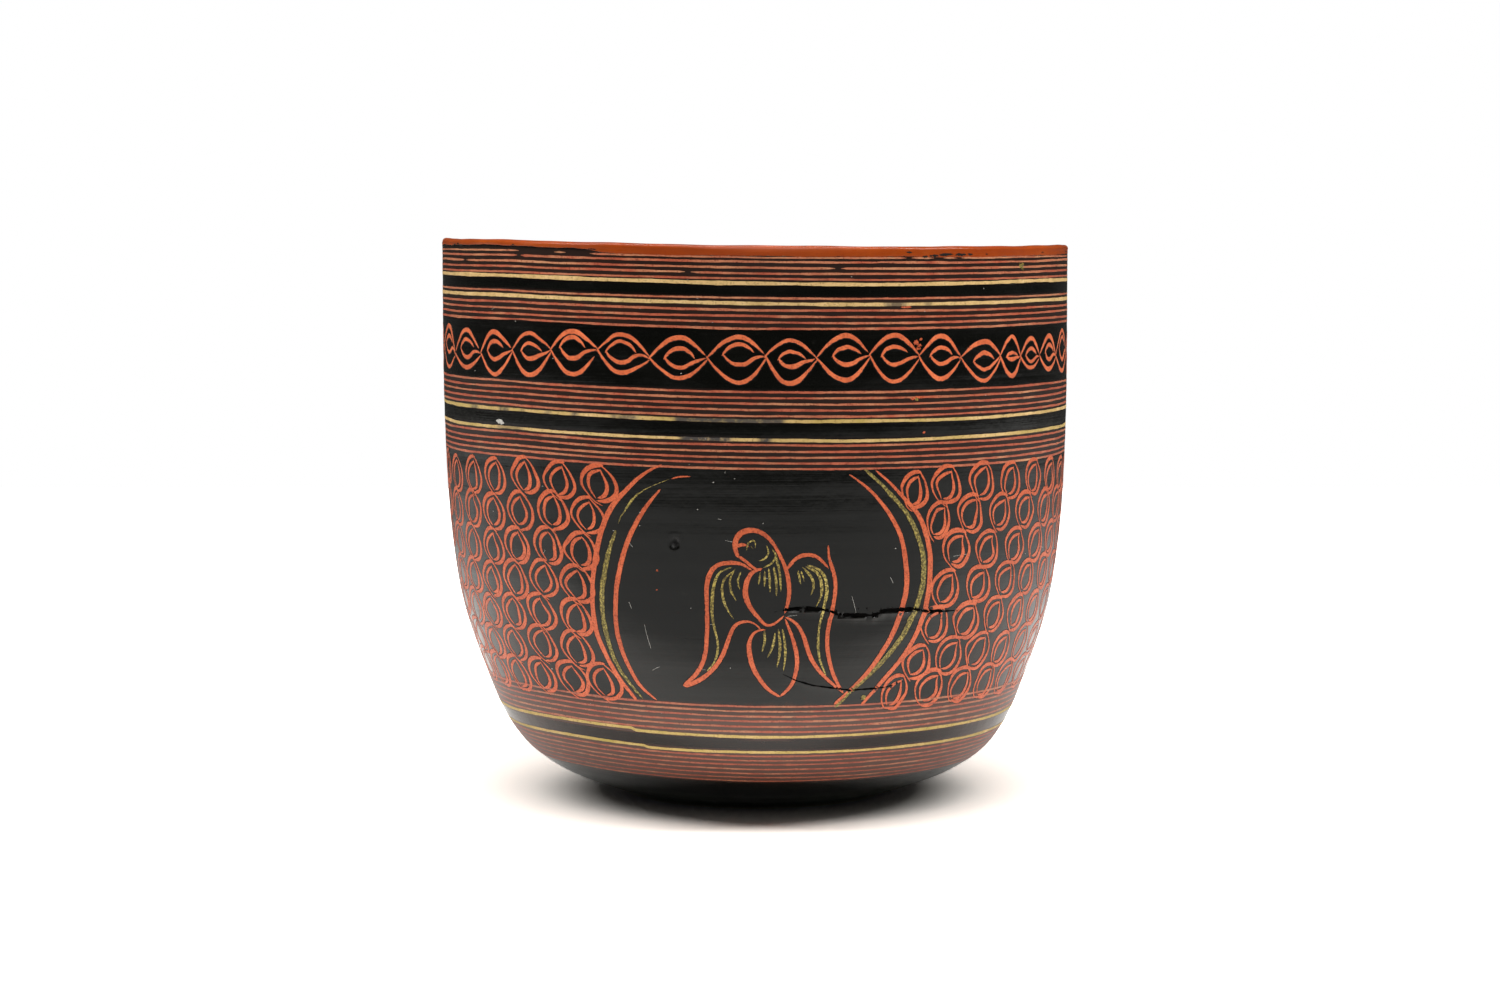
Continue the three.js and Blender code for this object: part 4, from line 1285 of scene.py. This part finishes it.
CORE_OUT, CORE_IN = core_chain(False), core_chain(True)
DISC_R, SPLINT_GAP, HOOP_H = 9.0, 0.3, 4.0
HOOP_TOP = HEIGHT - 0.5 - LINING_T - GAP
t_end = float(t_of_z(HOOP_TOP - HOOP_H - SPLINT_GAP))
t_start = DISC_R + SPLINT_GAP
names = sorted(n for n in frame["nodes"] if n.startswith("bamboo_splint_"))
turns_each = [5, 3, 3]
TURNS = max(4, round((t_end - t_start) / 5.9))
while len(turns_each) < len(names) - 1:
    turns_each.append(2)
turns_each.append(max(1, TURNS + 1 - sum(turns_each)))
pitch = (t_end - t_start) / TURNS
turned_so_far = 0
first = 2 * math.pi * 1.0 / pitch
for i, name in enumerate(names):
    a0 = first if i == 0 else 2 * math.pi * turned_so_far
    turned_so_far += turns_each[i]
    a1 = 2 * math.pi * turned_so_far
    if i == len(names) - 1:
        a1 = 2 * math.pi * (TURNS + 1) - first
    n = max(12, int((a1 - a0) / math.radians(5)))
    a = np.linspace(a0, a1 - 0.004, n)
    lo = np.maximum(t_start, t_start + pitch * (a / (2 * math.pi) - 1)) + SPLINT_GAP / 2
    hi = np.minimum(t_end, t_start + pitch * a / (2 * math.pi)) - SPLINT_GAP / 2
    hi = np.maximum(hi, lo + 0.3)
    cols = []
    # a crowned strip: skin side out, flat side in
    for f, h in ((0.0, -0.35), (0.08, -0.08), (0.5, 0.0), (0.92, -0.08), (1.0, -0.35), (0.98, -CORE_T), (0.5, -CORE_T), (0.02, -CORE_T)):
        t = lo + (hi - lo) * f
        d = -(SHELL_T + GAP) + h
        cols.append(place(a, np.maximum(lut(RR, t) + d * lut(NR, t), 0.2), lut(ZZ, t) + d * lut(NZ, t)))
    k = len(cols)
    v = np.stack(cols, 1).reshape(-1, 3)
    s, e = np.arange(n - 1), np.arange(1, n)
    quads = [np.stack([s * k + c, e * k + c, e * k + (c + 1) % k, s * k + (c + 1) % k], 1) for c in range(k)]
    ends = []
    for b, flip in ((0, False), ((n - 1) * k, True)):
        for c in range(1, k - 1):
            tri = [b, b + c, b + c + 1]
            ends.append(tri[::-1] if flip else tri)
    ob = mesh_object(name + "_strip", v, np.concatenate(quads), np.array(ends), BAMBOO, sharp=40)
    on_root(ob, [name])


def solid_ring(name, section, material, node, n=240):
    phi = np.linspace(-math.pi, math.pi, n, endpoint=False)
    cols = [place(phi, np.full(n, float(r)), np.full(n, float(z))) for r, z in section]
    k = len(cols)
    v = np.stack(cols, 1).reshape(-1, 3)
    i, j = np.arange(n), (np.arange(n) + 1) % n
    quads = [np.stack([i * k + c, i * k + (c + 1) % k, j * k + (c + 1) % k, j * k + c], 1) for c in range(k)]
    return on_root(mesh_object(name, v, np.concatenate(quads)[:, ::-1], None, material, sharp=40), [node])


ro, ri = 75.0 - SHELL_T - GAP, 75.0 - SHELL_T - GAP - CORE_T
solid_ring(
    "rim_hoop_strip",
    [(ri, HOOP_TOP - HOOP_H + 0.2), (ri + 0.2, HOOP_TOP - HOOP_H), (ro - 0.3, HOOP_TOP - HOOP_H), (ro, HOOP_TOP - HOOP_H + 0.4),
     (ro, HOOP_TOP - 0.4), (ro - 0.3, HOOP_TOP), (ri + 0.2, HOOP_TOP), (ri, HOOP_TOP - 0.2)],
    BAMBOO, "rim_hoop",
)
n = 96
phi_d = np.linspace(-math.pi, math.pi, n, endpoint=False)
zb, zt = SHELL_T + GAP, SHELL_T + GAP + CORE_T
disc_rows = [place(0.0, 0.0, zb)]
for r, z in ((4, zb), (DISC_R - 0.35, zb), (DISC_R, zb + 0.3), (DISC_R, zt - 0.3), (DISC_R - 0.35, zt), (4, zt)):
    disc_rows.append(place(phi_d, np.full(n, float(r)), z))
disc_rows.append(place(0.0, 0.0, zt))
on_root(turned("coil_start_disc_cut", disc_rows, phi_d, BAMBOO, sharp=40), ["coil_start_disc"])

# ---------------------------------------------------------------------------
# Floor, light, camera
# ---------------------------------------------------------------------------
def floor_material():
    n = Nodes("pale_floor")
    g = n.noise(n.c, 14.0, 3.0)
    seen = n.t.nodes.new("ShaderNodeLightPath").outputs["Is Camera Ray"]
    base = n.ramp(g, [(0.3, (0.80, 0.80, 0.795)), (0.7, (0.83, 0.83, 0.825))])
    # Painted light on the table, seen only in reflections: burnt out brighter than white round the bowl, less so
    # towards the front, with painted shade behind it
    where = n.t.nodes.new("ShaderNodeSeparateXYZ")
    n.link(n.c, where.inputs[0])
    reach = n.t.nodes.new("ShaderNodeVectorMath")
    reach.operation = "LENGTH"
    n.link(n.c, reach.inputs[0])
    near = n.ramp(reach.outputs["Value"], [(0.20, 1.0), (0.36, 0.0)], "EASE")
    front = n.ramp(n.math("ADD", where.outputs["Y"], 0.2, True), [(0.075, 0.0), (0.118, 1.0)], "EASE")
    painted_light_base = n.mix(near, base, (1.38, 1.365, 1.335))
    painted_shade_behind = n.ramp(n.math("MULTIPLY", where.outputs["Y"], 1.0, True), [(0.30, 0.0), (0.62, 1.0)], "EASE")
    painted_light_base = n.mix(painted_shade_behind, painted_light_base, (0.34, 0.33, 0.32))
    painted_light_base = n.mix(front, (0.66, 0.66, 0.655), painted_light_base)
    # Seen by the camera: a painted contact shadow at the bowl's middle, and beyond it a colour brighter than white,
    # painted light that burns the table out
    shown = n.ramp(reach.outputs["Value"], [(0.016, (0.30, 0.29, 0.28)), (0.046, (1.75, 1.69, 1.62))], "EASE")
    base = n.mix(seen, painted_light_base, shown)
    m = n.done(base, 0.6, Specular_IOR_Level=0.15)
    # It fades into the white beyond the table
    length = n.t.nodes.new("ShaderNodeVectorMath")
    length.operation = "LENGTH"
    n.link(n.c, length.inputs[0])
    far = n.add("ShaderNodeMapRange", Value=length.outputs["Value"])
    far.inputs["From Min"].default_value = 0.14
    far.inputs["From Max"].default_value = 0.50
    n.b.inputs["Emission Color"].default_value = (1, 1, 1, 1)
    n.link(n.math("MULTIPLY", n.math("MULTIPLY", far.outputs[0], 0.95), seen), n.b.inputs["Emission Strength"])
    return m


def plane(name, corners, material, cuts=1):
    me = bpy.data.meshes.new(name)
    me.from_pydata([Vector(c) for c in corners], [], [(0, 1, 2, 3)])
    ob = bpy.data.objects.new(name, me)
    bpy.context.scene.collection.objects.link(ob)
    me.materials.append(material)
    ob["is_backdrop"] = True
    return ob


plane("floor", [(-0.95, -0.52, 0), (0.95, -0.52, 0), (0.95, 0.95, 0), (-0.95, 0.95, 0)], floor_material())

world = bpy.data.worlds.new("studio")
bpy.context.scene.world = world
world.use_nodes = True
wt = world.node_tree
wt.nodes.clear()
w_out = wt.nodes.new("ShaderNodeOutputWorld")
w_mix = wt.nodes.new("ShaderNodeMixShader")
w_path = wt.nodes.new("ShaderNodeLightPath")
w_room = wt.nodes.new("ShaderNodeBackground")
w_back = wt.nodes.new("ShaderNodeBackground")
w_room.inputs[0].default_value = (0.95, 0.94, 0.90, 1)
w_room.inputs[1].default_value = 0.05
w_back.inputs[0].default_value = (1, 1, 1, 1)
w_back.inputs[1].default_value = 1.0
wt.links.new(w_path.outputs["Is Camera Ray"], w_mix.inputs[0])
wt.links.new(w_room.outputs[0], w_mix.inputs[1])
wt.links.new(w_back.outputs[0], w_mix.inputs[2])
wt.links.new(w_mix.outputs[0], w_out.inputs[0])


def area(name, place_at, look_at, size, size_y, power, color=(1, 1, 1)):
    light = bpy.data.lights.new(name, "AREA")
    light.shape = "RECTANGLE"
    light.size, light.size_y, light.energy, light.color = size, size_y, power, color
    ob = bpy.data.objects.new(name, light)
    bpy.context.scene.collection.objects.link(ob)
    ob.location = place_at
    ob.rotation_euler = (Vector(look_at) - Vector(place_at)).to_track_quat("-Z", "Y").to_euler()
    return ob


area("tube_top", (0.0, -0.13, 1.0), (0.0, -0.13, 0.0), 3.2, 0.10, 33.0, (1.0, 0.988, 0.965))
fill = area("fill_front", (0.2, -1.6, 1.35), (0.0, 0.0, 0.06), 1.5, 1.0, 26.0, (1.0, 0.985, 0.965))
lit = bpy.data.collections.new("lit_by_fill")
for ob in bpy.context.scene.objects:
    if ob.type == "MESH" and ob.name != "floor":
        lit.objects.link(ob)
fill.light_linking.receiver_collection = lit

F_PX, DIST, CAM_Z, CAM_X, PITCH_DOWN = 3516.0, 0.849, 0.1385, -0.00125, 0.0802
cam_data = bpy.data.cameras.new("camera")
cam_data.sensor_width = 36.0
cam_data.lens = F_PX / 1500.0 * 36.0
cam_data.clip_start, cam_data.clip_end = 0.05, 60
cam = bpy.data.objects.new("camera", cam_data)
bpy.context.scene.collection.objects.link(cam)
cam.location = (CAM_X, -DIST, CAM_Z)
cam.rotation_euler = (math.pi / 2 - PITCH_DOWN, 0, 0)
bpy.context.scene.camera = cam
view = bpy.context.scene.view_settings
view.view_transform = "Standard"
view.look = "None"
view.exposure = 0.0

low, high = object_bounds()
